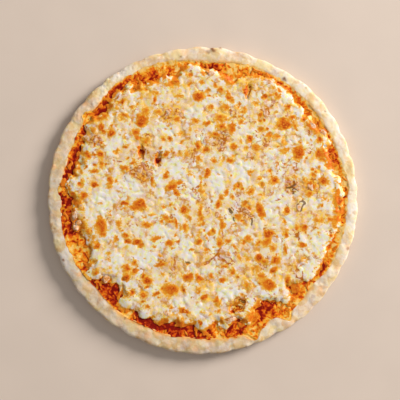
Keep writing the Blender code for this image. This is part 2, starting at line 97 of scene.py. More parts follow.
# Browned spots: (x, y, half length, half width) in mm, turn in degrees and how dark, 0 to 1.
BROWNED = ((-61, 78, 7, 4.8, 90, 1), (-100, -24, 8, 5, 100, 1), (-62, -4, 6.5, 5.5, 0, 1),
           (-77, -3, 4, 2.5, 0, 0.8), (-31, -88, 7, 6.3, 0, 1), (80, 75, 6.5, 5.5, 0, 1),
           (94, 47, 6, 5, 90, 1), (-31, 13, 6.5, 3.3, 25, 1), (-26, 8, 4.5, 2.2, 130, 0.8),
           (17, 81, 6, 4, 0, 0.6), (-74, -40, 3.5, 2.5, 0, 0.9), (-65, -41, 4.5, 3, 0, 1),
           (64, -33, 4.6, 4, 0, 1), (63, -41, 5.5, 4.5, 0, 0.55), (-75, -66, 4, 3.6, 0, 0.9),
           (-75, -76, 4, 3.6, 0, 1), (-67, -69, 3.6, 3, 0, 1), (-55, -80, 5, 4, 0, 0.95),
           (64, -83, 6.5, 5.5, 0, 1), (-90, 66, 4.6, 3.2, 70, 0.9), (-100, 72, 4, 3, 90, 1),
           (-5, 102, 5, 4.2, 0, 1), (42, 107, 4, 2.5, 90, 1), (115, 59, 3.6, 3, 0, 0.9),
           (115, 45, 5, 4, 0, 1), (45, 61, 3.6, 3.4, 0, 0.9), (-5, 53, 4, 3, 90, 0.7),
           (-113, 45, 4.2, 3, 150, 0.8), (-100, 45, 4.2, 3, 150, 0.8), (-36, 45, 4, 2.5, 80, 0.8),
           (-37, 24, 4, 2.4, 50, 0.85), (4, 27, 4.6, 3, 80, 1), (-19, -10, 4, 4, 0, 0.85),
           (-3, -13, 4, 2.5, 90, 0.85), (56, -8, 5.6, 3.2, 95, 0.95), (41, -4, 3.6, 3, 0, 0.7),
           (82, -10, 3.6, 3.4, 0, 1), (-46, -38, 4, 2.5, 0, 0.8), (10, -30, 3, 2.5, 0, 0.7),
           (-4, -41, 3.6, 3, 20, 0.85), (-104, -45, 3.6, 3, 90, 0.8), (-14, -76, 4.2, 4, 0, 1),
           (-3, -78, 3.6, 3.4, 0, 0.9), (19, -78, 4, 3, 0, 0.8), (56, -57, 4.2, 3.2, 0, 0.9),
           (71, -59, 4.6, 3.5, 0, 0.85), (69, -68, 4, 2.2, 35, 1), (98, -44, 4, 2.8, 0, 1),
           (108, -53, 2.6, 2.2, 0, 0.9), (100, -27, 3.6, 3, 0, 0.9), (119, 19, 4.6, 4, 0, 1),
           (133, -1, 4.6, 4, 90, 1), (105, 16, 4, 3, 0, 0.8), (34, 14, 3.6, 3, 0, 0.8),
           (70, 19, 4, 3.5, 0, 0.8), (1, -96, 3.6, 3, 60, 0.9), (13, -100, 3.2, 3, 0, 0.9),
           (-69, -91, 3, 2.5, 0, 0.8), (-59, -94, 4, 3, 0, 0.8), (-46, -92, 4, 2.4, 40, 0.85),
           (-106, 15, 3.6, 3, 0, 0.9), (-120, 15, 3.4, 2.6, 90, 0.7), (-108, 28, 3.2, 2.2, 0, 0.6),
           (-92, 19, 4.2, 2.5, 110, 0.8), (-18, -109, 5, 2.6, 150, 0.95), (-117, 4, 5, 3, 20, 0.8),
           (-7, 78, 4, 2.5, 0, 0.9), (4, 75, 4, 2, 0, 0.8), (-39, 59, 3, 2, 0, 0.8),
           (-32, 60, 2.6, 2, 0, 0.7), (-27, 117, 4, 2, 170, 0.95), (-12, 124, 3, 2.6, 0, 0.9),
           (-48, 98, 4.2, 2, 80, 0.75), (61, 102, 3, 2.5, 0, 0.7), (73, 101, 4, 2.5, 150, 0.5),
           (83, 92, 3.6, 3, 70, 0.8), (-90, 92, 4, 2, 45, 0.6),
           (-108, 68, 3, 3, 0, 0.6), (-79, 97, 4, 2.5, 0, 0.45), (-70, 92, 3, 2.5, 0, 0.45),
           (-64, 94, 2.5, 2, 0, 0.4), (-78, 82, 6, 4, 0, 0.42), (-56, 87, 4, 4, 0, 0.6),
           (-68, 115, 3, 3, 0, 0.5), (-63, 110, 4, 3, 150, 0.7), (-56, 109, 3, 2.5, 0, 0.5),
           (-47, 105, 4, 3, 0, 0.5), (-61, 101, 3, 2, 0, 0.4), (-66, 66, 4, 3.5, 0, 0.65),
           (-64, 61, 3, 3, 0, 0.7), (-56, 59, 5, 4, 0, 0.42), (-77, 62, 2.5, 2.5, 0, 0.4),
           (-75, 53, 4, 1.5, 0, 0.6), (-85, 47, 3, 2.5, 0, 0.6), (-90, 74, 2, 2, 0, 0.6),
           (-85, 90, 2, 2, 0, 0.5), (-44, 86, 4, 2.5, 170, 0.58), (-32, 88, 3, 3, 0, 0.5),
           (-26, 79, 4, 3, 0, 0.6), (-34, 78, 4, 1.5, 0, 0.4), (-22, 65, 4, 2, 0, 0.45),
           (-13, 68, 4, 2, 90, 0.3), (-20, 57, 3, 1.5, 90, 0.5), (8, 91, 4, 3, 90, 0.5),
           (5, 107, 3.5, 2.5, 90, 0.55), (6, 103, 1.5, 1.5, 0, 0.8), (11, 114, 4, 1.5, 130, 0.6),
           (17, 108, 4, 2.5, 120, 0.7), (-1, 117, 3, 3, 0, 0.5), (-14, 113, 3, 1.5, 75, 0.45),
           (0, 125, 4, 1.5, 110, 0.6), (25, 119, 4, 2, 0, 0.6), (25, 104, 4, 2.5, 110, 0.55),
           (28, 97, 3, 2, 90, 0.5), (22, 92, 4.5, 4, 0, 0.6), (34, 92, 4, 3, 0, 0.4),
           (41, 88, 4.5, 3, 90, 0.4), (18, 72, 5, 4, 0, 0.65), (28, 70, 6, 4, 90, 0.75),
           (26, 80, 4, 2, 0, 0.4), (38, 77, 4, 3, 20, 0.55), (12, 64, 5, 2.5, 0, 0.7),
           (3, 50, 3.5, 3, 0, 0.65), (30, 52, 3.5, 3, 90, 0.65), (37, 57, 4, 1.5, 90, 0.5),
           (42, 52, 2, 2, 0, 0.5), (-25, 103, 4, 2, 0, 0.45), (-23, 46, 4, 3, 0, 0.4),
           (57, 84, 3, 3, 0, 0.6), (52, 96, 5, 4, 0, 0.35), (58, 114, 3, 2, 0, 0.4),
           (68, 111, 3, 2, 0, 0.5), (75, 108, 3, 1.5, 150, 0.6), (87, 81, 4, 2.5, 0, 0.6),
           (90, 74, 5, 3, 90, 0.5), (57, 69, 4, 3, 0, 0.45), (65, 64, 4, 3, 90, 0.45),
           (72, 62, 3, 2.5, 0, 0.6), (80, 57, 4, 3, 90, 0.4), (52, 52, 4, 4, 0, 0.5),
           (80, 48, 4, 3, 0, 0.5), (99, 80, 3, 2.5, 90, 0.7), (103, 73, 3, 2, 0, 0.6),
           (111, 67, 5, 3, 90, 0.5), (95, 92, 3, 3, 0, 0.7), (-117, 37, 4, 3, 90, 0.45),
           (-120, 28, 4, 2, 90, 0.3), (-99, 35, 7, 3, 90, 0.4), (-92, 13, 3, 2.5, 0, 0.4),
           (-77, 32, 4, 3, 10, 0.8), (-69, 37, 4, 2.5, 30, 0.6), (-49, 18, 5, 2, 90, 0.6),
           (-69, -8, 3.5, 3, 0, 0.6), (-124, -2, 5, 3, 0, 0.6), (-119, -9, 4, 3, 0, 0.5),
           (-101, -3, 4, 2, 0, 0.35), (-82, -23, 4, 3, 0, 0.5), (-82, -28, 3, 2, 90, 0.5),
           (-55, -25, 5, 3, 0, 0.55), (-70, -17, 2.5, 2, 0, 0.35), (-50, -15, 5, 1.5, 0, 0.3),
           (-98, -33, 4, 3, 0, 0.6), (-85, -38, 2.5, 2.5, 0, 0.45), (-76, -35, 3, 3, 0, 0.65),
           (-60, -44, 3, 2.5, 150, 0.75), (-112, -31, 4, 3, 0, 0.45), (-15, 46, 5, 3, 160, 0.42),
           (-4, 41, 4, 4, 0, 0.55), (11, 38, 3, 2.5, 0, 0.6), (19, 41, 3, 3, 0, 0.35),
           (27, 38, 4, 3, 0, 0.65), (29, 43, 2.5, 2, 90, 0.4), (43, 42, 2, 2, 0, 0.4),
           (-20, 31, 3, 1.5, 0, 0.35), (-13, 27, 3, 3, 0, 0.35), (47, 28, 4, 2.5, 0, 0.5),
           (-2, 9, 4, 3, 90, 0.5), (-2, 22, 3, 2, 90, 0.35), (-23, 17, 3.5, 1.8, 10, 0.65),
           (-18, 9, 3, 2, 90, 0.35), (-31, -5, 2.5, 2, 0, 0.55), (-39, -6, 3, 2, 0, 0.4),
           (-13, -18, 4, 2.5, 140, 0.4), (-2, -19, 3, 3, 0, 0.7), (-2, -7, 3, 2.5, 90, 0.5),
           (18, 2, 3, 3, 0, 0.6), (14, -4, 4, 3, 60, 0.75), (23, 8, 4, 2, 70, 0.55),
           (28, 4, 4, 2, 100, 0.55), (47, 8, 4, 4, 0, 0.55), (45, -8, 3, 2.5, 90, 0.6),
           (-37, -17, 4, 3, 0, 0.6), (-32, -21, 4, 2, 0, 0.6), (-27, -22, 5, 2, 105, 0.65),
           (-18, -27, 5, 3, 90, 0.5), (17, -16, 3, 2.5, 0, 0.55), (20, -24, 6, 3, 90, 0.6),
           (17, -32, 4, 2, 90, 0.4), (35, -17, 4, 3, 0, 0.6), (6, -33, 3, 3, 0, 0.4),
           (-3, -32, 2, 1.5, 0, 0.4), (-4, -25, 3, 1.5, 0, 0.35), (16, -42, 5, 3, 90, 0.65),
           (25, -40, 4, 2, 0, 0.65), (31, -46, 4, 1.5, 130, 0.5), (39, -41, 3, 3, 0, 0.5),
           (44, -38, 4, 3, 90, 0.55), (-33, -42, 4, 3.5, 0, 0.6), (65, 29, 3, 3, 0, 0.45),
           (59, 16, 3, 3, 0, 0.5), (90, 23, 3, 3, 0, 0.35), (100, 20, 3, 2, 60, 0.6),
           (107, 24, 3, 1.5, 150, 0.55), (110, 13, 4, 2, 90, 0.6), (104, 6, 4, 3, 30, 0.65),
           (58, -15, 4, 3, 60, 0.6), (57, 6, 3, 2, 0, 0.4), (114, -20, 5, 3, 0, 0.55),
           (125, -19, 4, 1.5, 150, 0.6), (128, -25, 4, 1.5, 95, 0.5), (133, -12, 4, 3, 0, 0.7),
           (92, -28, 3, 3, 0, 0.4), (114, -33, 2, 2, 0, 0.5), (82, -33, 5, 2.5, 100, 0.6),
           (68, -46, 4, 4, 0, 0.5), (54, -42, 4, 4, 0, 0.35), (81, -50, 5, 2, 90, 0.75),
           (-93, -53, 3, 2.5, 90, 0.4), (-94, -59, 4, 2, 150, 0.4), (-108, -61, 3, 2.5, 0, 0.5),
           (-106, -71, 3.5, 2.5, 0, 0.7), (-67, -61, 3.5, 2.5, 90, 0.5), (-58, -75, 3, 3, 0, 0.6),
           (-74, -92, 3, 2.5, 0, 0.4), (-54, -106, 4, 2.5, 0, 0.45), (-42, -63, 6, 2, 10, 0.75),
           (-48, -46, 2, 2, 0, 0.5), (-40, -72, 3, 2, 0, 0.45), (-16, -62, 2.5, 1.5, 0, 0.5),
           (4, -50, 3, 3, 0, 0.45), (9, -74, 3, 3, 0, 0.5), (-4, -89, 3, 3, 0, 0.55),
           (-20, -87, 5, 3, 90, 0.4), (-31, -106, 3, 2.5, 90, 0.5), (7, -112, 2, 1.5, 0, 0.45),
           (16, -110, 3, 3, 0, 0.45), (19, -118, 4, 3, 90, 0.45), (29, -70, 3, 3, 0, 0.6),
           (20, -65, 4, 2, 0, 0.65), (35, -57, 5, 1.5, 120, 0.45), (43, -57, 4, 3, 90, 0.35),
           (43, -83, 4, 4, 0, 0.45), (50, -115, 4, 3, 90, 0.6), (60, -61, 3, 3, 0, 0.5),
           (52, -67, 5, 4, 0, 0.45), (57, -75, 5, 4, 120, 0.5), (98, -57, 3, 1.5, 0, 0.45),
           (84, -79, 4, 3, 90, 0.75), (91, -87, 5, 4, 60, 0.95), (100, -89, 5, 4, 0, 0.45))
# Crumbly tan places where the cheese is in small grains over the turkey: (x, y, radius) in mm.
CRUMBLY = ((61, 87, 5), (106, 14, 9), (-62, 28, 9), (-32, 86, 11), (-106, 58, 7), (42, -11, 8),
           (34, -103, 9), (19, 65, 8), (98, -27, 4), (-122, -22, 8), (108, 70, 7), (-55, 60, 6),
           (17, 53, 6), (62, 57, 4), (-10, 48, 4), (6, -80, 5), (64, -83, 6), (60, -62, 6),
           (-40, -62, 5), (87, 13, 6))
# Pieces of turkey: (x, y, length, width, turn) in mm and degrees.
TURKEY = ((-126, -15, 12, 7, 70), (-121, -22, 11, 6, 20), (5, 60, 13, 8, 15), (8, 124, 12, 7, 160),
          (14, 117, 9, 7, 30), (62, 85, 11, 8, 40), (63, 116, 12, 7, 10), (35, 70, 9, 7, 120),
          (106, 74, 13, 7, 130), (118, 65, 9, 7, 80), (-52, 26, 12, 7, 150), (-62, 30, 11, 8, 30),
          (-71, 47, 12, 7, 10), (-104, 60, 10, 7, 45), (-32, 86, 12, 8, 170), (112, -58, 13, 8, 140),
          (95, -7, 11, 7, 65), (106, 14, 12, 8, 100), (27, -117, 13, 7, 15), (-36, -110, 12, 7, 120),
          (-95, -77, 11, 7, 50), (-125, -26, 9, 6, 100), (14, -14, 11, 8, 40), (43, -10, 11, 7, 150),
          (46, 45, 12, 7, 25), (93, 12, 9, 7, 10), (24, -54, 11, 7, 130), (-8, 63, 10, 7, 60))
# Thin cracks between the shreds: (x, y) to (x, y) in mm.
CRACKS = ((18.8, -20.7, 18.8, -39.5), (18.8, -39.5, 14.8, -52.3), (14.8, -52.3, 2, -63.2),
          (14.8, -52.3, 21.7, -61.2), (21.7, -61.2, 28.6, -63.2), (-27.7, -54.3, -27.7, -69.1),
          (-88, 39.5, -80, 37.5), (-44.4, 47, -44.4, 36), (-110, 42, -106, 50), (89, -72, 98, -79),
          (97, -71, 98, -80), (50, -97, 58, -105), (-60, 52, -60.5, 42), (-60.5, 43, -64, 40),
          (-60, 48, -56, 50), (-43.5, 45, -45.5, 35.5), (-44.5, 40, -47, 42), (-45, 36, -41, 33))
# Short strokes where the cheese is nearly burnt, the same way.
CHARRED = ((82, 12, 87, 12.7), (86.4, 12.7, 93, 9.5), (87, 13, 89.7, 16), (88, 11, 88.6, 6.5),
           (97.4, 0.7, 100.1, -3.7), (100.1, -3.7, 95.7, -11.4), (97.4, 0.7, 91.9, -5.9),
           (47.5, -18, 48, -23.4), (25.9, -8.5, 27.6, -12.5), (29.8, -17, 31.5, -20.5),
           (-17.5, -61, -13.5, -62.5))
# Places where the sauce shows through the cheese: (x, y, half length, half width, turn).
OPENINGS = ((-60.7, 46.4, 4.6, 1.2, 95), (-44.4, 39.5, 4.6, 1.2, 80), (33.6, -103.7, 7.0, 3.6, 35),
            (44.4, 107.6, 4.8, 1.0, 80))


# ---------------------------------------------------------------- shape rules, for numbers or arrays
def bell(angle, middle, half_width):
    """1 at an angle round the pizza, fading to 0 on both sides of it; all in degrees."""
    away = (angle - middle + 180.0) % 360.0 - 180.0
    return np.exp(-0.5 * (away / half_width) ** 2)


def swells(angle, table):
    """Sum of smooth bumps round the edge."""
    return sum(height * MM * bell(angle, middle, half_width) for middle, height, half_width in table)


def waves(angle, table):
    """Sum of whole waves round the pizza, given in mm."""
    return sum(height * MM * np.sin(count * np.radians(angle) + phase)
               for count, height, phase in table)


def crimp(angle):
    """0 in a valley between two crimps and 1 on the round of a crimp."""
    return np.abs(np.sin(np.radians(angle) * CRIMPS / 2.0)) ** 0.8


def rim_radius(angle):
    return RIM_RADIUS + swells(angle, RIM_SWELLS) + CRIMP_DEPTH * (crimp(angle) - CRIMP_MIDDLE)


def sauce_radius(angle):
    return SAUCE_RADIUS + swells(angle, SAUCE_BAYS)


def cheese_radius(angle):
    base = CHEESE_RADIUS + swells(angle, CHEESE_LOBES) + waves(angle, CHEESE_WAVES)
    return np.minimum(base, sauce_radius(angle) - CHEESE_MARGIN)


def smooth(value):
    """0 below 0, 1 above 1 and a smooth step between."""
    value = np.clip(value, 0.0, 1.0)
    return value * value * (3.0 - 2.0 * value)


def field(points, pitch, seed):
    """Smooth random field over x and y, from -1 to 1, with lumps of the given pitch."""
    size = 64
    table = np.random.default_rng(seed).uniform(-1.0, 1.0, (size, size))
    x = points[:, 0] * math.cos(seed) - points[:, 1] * math.sin(seed)
    y = points[:, 0] * math.sin(seed) + points[:, 1] * math.cos(seed)
    u, v = x / pitch + size * 8, y / pitch + size * 8
    column, row = np.floor(u).astype(int), np.floor(v).astype(int)
    s, t = smooth(u - column), smooth(v - row)
    near = table[column % size, row % size] * (1 - s) + table[(column + 1) % size, row % size] * s
    far = (table[column % size, (row + 1) % size] * (1 - s)
           + table[(column + 1) % size, (row + 1) % size] * s)
    return near * (1 - t) + far * t


def arc_share(angle, table):
    """1 at the middle of any (middle, half width) arc in the table, fading to 0 beyond it."""
    share = np.zeros_like(angle)
    for middle, half_width in table:
        share = np.maximum(share, bell(angle, middle, half_width))
    return share


def facing(angle, side):
    """1 on the side of the pizza at an angle and -1 on the other side; in degrees."""
    return np.cos(np.radians(angle - side))


def lower_left(angle):
    """1 at the lower left of the pizza and 0 at its upper right."""
    return 0.5 - 0.5 * facing(angle, 40.0)


def from_polar(radius, turn):
    """x and y at a distance from the middle and an angle in degrees."""
    return radius * math.cos(math.radians(turn)), radius * math.sin(math.radians(turn))


def turned(dx, dy, turn):
    """The same offsets, along and across a line turned by some degrees."""
    cos_turn, sin_turn = from_polar(1.0, turn)
    return dx * cos_turn + dy * sin_turn, dy * cos_turn - dx * sin_turn


def outline_centre():
    """Middle of the outline's bounding box, which is the part's origin."""
    steps = CRIMPS * STEPS_PER_CRIMP
    turns = np.arange(steps) * 360.0 / steps
    radius = rim_radius(turns)
    xs, ys = radius * np.cos(np.radians(turns)), radius * np.sin(np.radians(turns))
    return np.array([(xs.min() + xs.max()) / 2.0, (ys.min() + ys.max()) / 2.0, 0.0])


# ---------------------------------------------------------------- mesh helpers
SMOOTH_ANGLE = 65                # edges turned by more degrees stay sharp


def start_clean():
    """Removes the cube, lamp and camera that a new file has."""
    bpy.ops.object.select_all(action="DESELECT")
    for item in ("Cube", "Light", "Camera"):
        if item in bpy.data.objects:
            bpy.data.objects.remove(bpy.data.objects[item])


def only(piece):
    """Selects one piece and makes it active."""
    bpy.ops.object.select_all(action="DESELECT")
    piece.select_set(True)
    bpy.context.view_layer.objects.active = piece


def take_new(name):
    """Names the piece that was just added."""
    piece = bpy.context.active_object
    piece.name = name
    piece.data.name = name
    return piece


def apply_modifier(piece, kind, **settings):
    """Adds a modifier with these settings and applies it."""
    only(piece)
    modifier = piece.modifiers.new(kind.lower(), kind)
    for key, value in settings.items():
        setattr(modifier, key, value)
    bpy.ops.object.modifier_apply(modifier=modifier.name)


def read_vectors(items, key):
    """A row of x, y and z for each item of a mesh."""
    flat = np.empty(len(items) * 3, np.float32)
    items.foreach_get(key, flat)
    return flat.reshape(-1, 3).astype(float)


def read_points(piece):
    return read_vectors(piece.data.vertices, "co")


def write_points(piece, points):
    piece.data.vertices.foreach_set("co", points.astype(np.float32).ravel())
    piece.data.update()


def read_normals(piece):
    return read_vectors(piece.data.vertex_normals, "vector")


def paint(piece, name, values):
    """Stores one number for each point, for the piece's material."""
    layer = piece.data.attributes.new(name, "FLOAT", "POINT")
    layer.data.foreach_set("value", np.clip(values, 0.0, 1.0).astype(np.float32))


def soften(piece, values, times):
    """Evens painted values out along the edges of the mesh."""
    ends = np.empty(len(piece.data.edges) * 2, np.int32)
    piece.data.edges.foreach_get("vertices", ends)
    first, second = ends[::2], ends[1::2]
    count = np.bincount(ends, minlength=len(values)) + 1.0
    for _ in range(times):
        total = np.bincount(first, values[second], len(values))
        total += np.bincount(second, values[first], len(values))
        values = (values + total) / count
    return values


def edit_all():
    """Enters edit mode with everything selected."""
    bpy.ops.object.mode_set(mode="EDIT")
    bpy.ops.mesh.select_all(action="SELECT")


def face_out():
    """Turns all faces outwards and leaves edit mode."""
    bpy.ops.mesh.select_all(action="SELECT")
    bpy.ops.mesh.normals_make_consistent(inside=False)
    bpy.ops.object.mode_set(mode="OBJECT")


def place_in_mesh(piece):
    """Takes a piece's place, turn and size up into its own points."""
    only(piece)
    bpy.ops.object.transform_apply(location=True, rotation=True, scale=True)


def settle(piece, node, material):
    """Finishes a piece: centred like the part, smooth, riding on the body, standing for its node."""
    write_points(piece, read_points(piece) - outline_centre())
    piece.data.materials.clear()
    piece.data.materials.append(material)
    only(piece)
    bpy.ops.object.shade_smooth_by_angle(angle=math.radians(SMOOTH_ANGLE))
    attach(piece, BODY)
    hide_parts(node)
    piece.select_set(False)


def grow_rings(name, steps, section):
    """Round body grown from a disc, which is extruded and resized to each (radius, height)."""
    radius, height = section[0]
    bpy.ops.mesh.primitive_circle_add(vertices=steps, radius=radius, location=(0, 0, height))
    piece = take_new(name)
    edit_all()
    bpy.ops.mesh.edge_face_add()
    bpy.ops.mesh.select_all(action="SELECT")
    for next_radius, next_height in section[1:]:
        bpy.ops.mesh.extrude_region_move(
            TRANSFORM_OT_translate={"value": (0.0, 0.0, next_height - height)})
        share = next_radius / radius
        bpy.ops.transform.resize(value=(share, share, 1.0))
        radius, height = next_radius, next_height
    face_out()
    place_in_mesh(piece)
    return piece


def resample(section, pitch):
    """More points along a section, on a smooth curve through its own points."""
    points = np.array(section, float)
    lengths = np.concatenate([[0.0], np.cumsum(np.hypot(*np.diff(points, axis=0).T))])
    count = max(2, int(round(lengths[-1] / pitch)))
    result = []
    for place in np.linspace(0.0, lengths[-1], count + 1):
        index = min(np.searchsorted(lengths, place, side="right") - 1, len(points) - 2)
        before, start = points[max(index - 1, 0)], points[index]
        end, after = points[index + 1], points[min(index + 2, len(points) - 1)]
        t = (place - lengths[index]) / (lengths[index + 1] - lengths[index])
        curve = 0.5 * (2 * start + (end - before) * t
                       + (2 * before - 5 * start + 4 * end - after) * t * t
                       + (3 * start - before - 3 * end + after) * t ** 3)
        result.append(tuple(curve))
    return result


def polar(points):
    """Distances from the middle, and angles in degrees."""
    return np.hypot(points[:, 0], points[:, 1]), np.degrees(np.arctan2(points[:, 1], points[:, 0])) % 360.0


# ---------------------------------------------------------------- material helpers
class Finish:
    """A node material, built up from left to right."""

    def __init__(self, name, roughness, **sockets):
        self.material = bpy.data.materials.new(name)
        self.material.use_nodes = True
        self.tree = self.material.node_tree
        self.shader = self.tree.nodes["Principled BSDF"]
        self.shader.inputs["Roughness"].default_value = roughness
        for key, value in sockets.items():
            self.shader.inputs[key.replace("_", " ")].default_value = value
        self.place = self.tree.nodes.new("ShaderNodeTexCoord").outputs["Object"]

    def link(self, output, target):
        self.tree.links.new(output, target)

    def feed(self, socket, value):
        """Gives a socket a number, a colour or what comes out of another node."""
        if isinstance(value, (int, float)):
            socket.default_value = value
        elif isinstance(value, tuple):
            socket.default_value = (*value, 1.0)
        else:
            self.link(value, socket)

    def noise(self, pitch, detail=2.0, distortion=0.0):
        """Noise with lumps of the given size in metres, from 0 to 1."""
        node = self.tree.nodes.new("ShaderNodeTexNoise")
        node.inputs["Scale"].default_value = 1.0 / pitch
        node.inputs["Detail"].default_value = detail
        node.inputs["Distortion"].default_value = distortion
        self.link(self.place, node.inputs["Vector"])
        return node.outputs["Fac"]

    def attribute(self, name, strength=1.0):
        """A painted value, at a share of its strength."""
        node = self.tree.nodes.new("ShaderNodeAttribute")
        node.attribute_name = name
        if strength == 1.0:
            return node.outputs["Fac"]
        return self.math("MULTIPLY", node.outputs["Fac"], strength)

    def range(self, value, low, high, out_low=0.0, out_high=1.0):
        """A smooth step from one value to another."""
        node = self.tree.nodes.new("ShaderNodeMapRange")
        node.interpolation_type = "SMOOTHSTEP"
        self.link(value, node.inputs["Value"])
        for key, number in (("From Min", low), ("From Max", high),
                            ("To Min", out_low), ("To Max", out_high)):
            node.inputs[key].default_value = number
        return node.outputs["Result"]

    def math(self, kind, first, second):
        node = self.tree.nodes.new("ShaderNodeMath")
        node.operation = kind
        for socket, value in zip(node.inputs, (first, second)):
            self.feed(socket, value)
        return node.outputs[0]

    def mix(self, share, first, second, kind="MIX"):
        node = self.tree.nodes.new("ShaderNodeMix")
        node.data_type = "RGBA"
        node.blend_type = kind
        self.feed(node.inputs["Factor"], share)
        # The node has sockets of one name for numbers, vectors and colours.
        first_socket, second_socket = (socket for socket in node.inputs if socket.type == "RGBA")
        self.feed(first_socket, first)
        self.feed(second_socket, second)
        return [socket for socket in node.outputs if socket.type == "RGBA"][0]

    def ramp(self, value, stops):
        """Colours along a value: (place from 0 to 1, colour) stops."""
        node = self.tree.nodes.new("ShaderNodeValToRGB")
        while len(node.color_ramp.elements) < len(stops):
            node.color_ramp.elements.new(0.5)
        for element, (place, colour) in zip(node.color_ramp.elements, stops):
            element.position = place
            element.color = (*colour, 1.0)
        self.link(value, node.inputs["Fac"])
        return node.outputs["Color"]

    def bump(self, layers):
        """Small relief: (value, depth in metres) layers, one on another."""
        previous = None
        for value, depth in layers:
            node = self.tree.nodes.new("ShaderNodeBump")
            node.inputs["Distance"].default_value = depth
            node.inputs["Strength"].default_value = 1.0
            self.link(value, node.inputs["Height"])
            if previous:
                self.link(previous, node.inputs["Normal"])
            previous = node.outputs["Normal"]
        self.link(previous, self.shader.inputs["Normal"])

    def colour(self, output):
        """Gives the material its colour and hands the material on."""
        self.link(output, self.shader.inputs["Base Color"])
        return self.material


# ---------------------------------------------------------------- dough
DOUGH_STEPS = CRIMPS * 22
DOUGH_PITCH = 0.9 * MM
BUBBLE_SEED = 11
BUBBLES = 190
PITS = 90
# Rough patch where small bubbles crowd: (middle in degrees, half width, share of the bubbles).
ROUGH_PATCH = (131, 7, 0.25)
# Deeper pits: (degrees, place across the rim from 0 inside to 1 outside).
DEEP_PITS = ((125, 0.55), (128.5, 0.6), (134, 0.4), (139.5, 0.35), (98.8, 0.3), (105, 0.6),
             (127.5, 0.9), (236.5, 0.1), (191, 0.7), (36, 0.75), (47.5, 0.85), (34.5, 0.6),
             (243, 0.1), (287.5, 0.15), (294, 0.85), (122, 0.8), (131, 0.7), (118.5, 0.5))
DEEP_PIT_SIZE = (1.1, -0.8)      # radius and rise in mm
# Two larger blisters: (degrees, place across the rim, radius and rise in mm).
BLISTERS = ((86.3, 0.86, 3.0, 0.9), (83.4, 1.0, 1.5, 0.7))
# Toasted places: (degrees, place across the rim, radius in mm, strength).
TOASTED = ((86.3, 0.84, 3.2, 1.1), (83.4, 1.0, 2.0, 0.9), (88, 0.7, 2.4, 0.6), (56, 0.3, 2.4, 1.0),
           (203.2, 0.78, 1.7, 1.1), (245, 0.03, 2.2, 0.8), (242.5, 0.03, 2.2, 0.6), (36, 0.7, 1.1, 0.8),
           (47.5, 0.8, 1.1, 0.8), (236.5, 0.12, 1.5, 0.7), (210, 0.03, 1.8, 0.5), (98.8, 0.3, 1.2, 0.7),
           (248, 0.9, 2.6, 0.5), (341.5, 0.85, 2.2, 0.7), (331.5, 0.85, 2.2, 0.3), (322, 0.8, 3.2, 0.35),
           (318.7, 0.45, 2.0, 0.4), (307.5, 0.9, 2.2, 0.4), (286, 1.0, 2.6, 0.5), (115, 0.9, 2.0, 0.4),
           (105, 0.85, 2.6, 0.3), (301, 0.5, 3.0, 0.25))
# Faint orange-tan places, the same way.
TINTED = ((140.5, 0.85, 3.2, 1.0), (150, 0.95, 3.0, 0.8), (158, 0.9, 3.0, 0.9), (167.5, 0.85, 3.6, 1.0),
          (163, 0.75, 6.0, 0.5), (176, 0.8, 4.0, 0.4), (211.5, 0.25, 3.4, 1.0), (217, 0.4, 6.0, 0.4),
          (248, 0.5, 4.5, 0.7), (256, 0.55, 5.0, 0.4), (267, 0.55, 4.5, 0.7), (274, 0.3, 4.0, 0.4),
          (42.5, 0.75, 3.5, 0.4), (77, 0.5, 5.0, 0.35), (97, 0.7, 4.5, 0.5), (110, 0.5, 5.0, 0.4),
          (307, 0.5, 5.0, 0.5), (322, 0.6, 5.0, 0.6), (333, 0.7, 4.5, 0.5), (342, 0.7, 4.0, 0.6),
          (235, 0.4, 5.0, 0.4), (185, 0.5, 5.0, 0.3), (283, 0.5, 4.0, 0.4), (146, 0.5, 6.0, 0.5),
          (154, 0.5, 6.0, 0.5), (238, 0.15, 4.0, 0.6), (244, 0.2, 4.0, 0.6), (251, 0.15, 4.0, 0.5),
          (262, 0.12, 4.0, 0.5), (272, 0.15, 4.0, 0.5), (288, 0.12, 4.0, 0.5))
# Round the rim, where there is flour on it and painted light on the side towards the lamp, where more oil
# has soaked in beside the sauce, and where painted shade lies away from the lamp: (middle in degrees, half
# width).
FLOUR_AND_LIT_SIDE = ((25, 32), (350, 14), (128, 7), (203, 6))
OILY_RIM = ((238, 14), (268, 12), (288, 6))
SHADED_SIDE = ((212, 12), (271, 11), (181, 7))
# Distances from the middle at which the dough's underside and its level top have points, in mm.
UNDERSIDE_RINGS = (30, 60, 90, 115, 130, 140)
LEVEL_RINGS = (128, 110, 60, 20)
OILY_SIDE = 30.0                 # in degrees, where the oil has soaked a little farther out
UNDERSIDE_FADE = 1.6 * MM        # height over which the underside's baked colour fades out


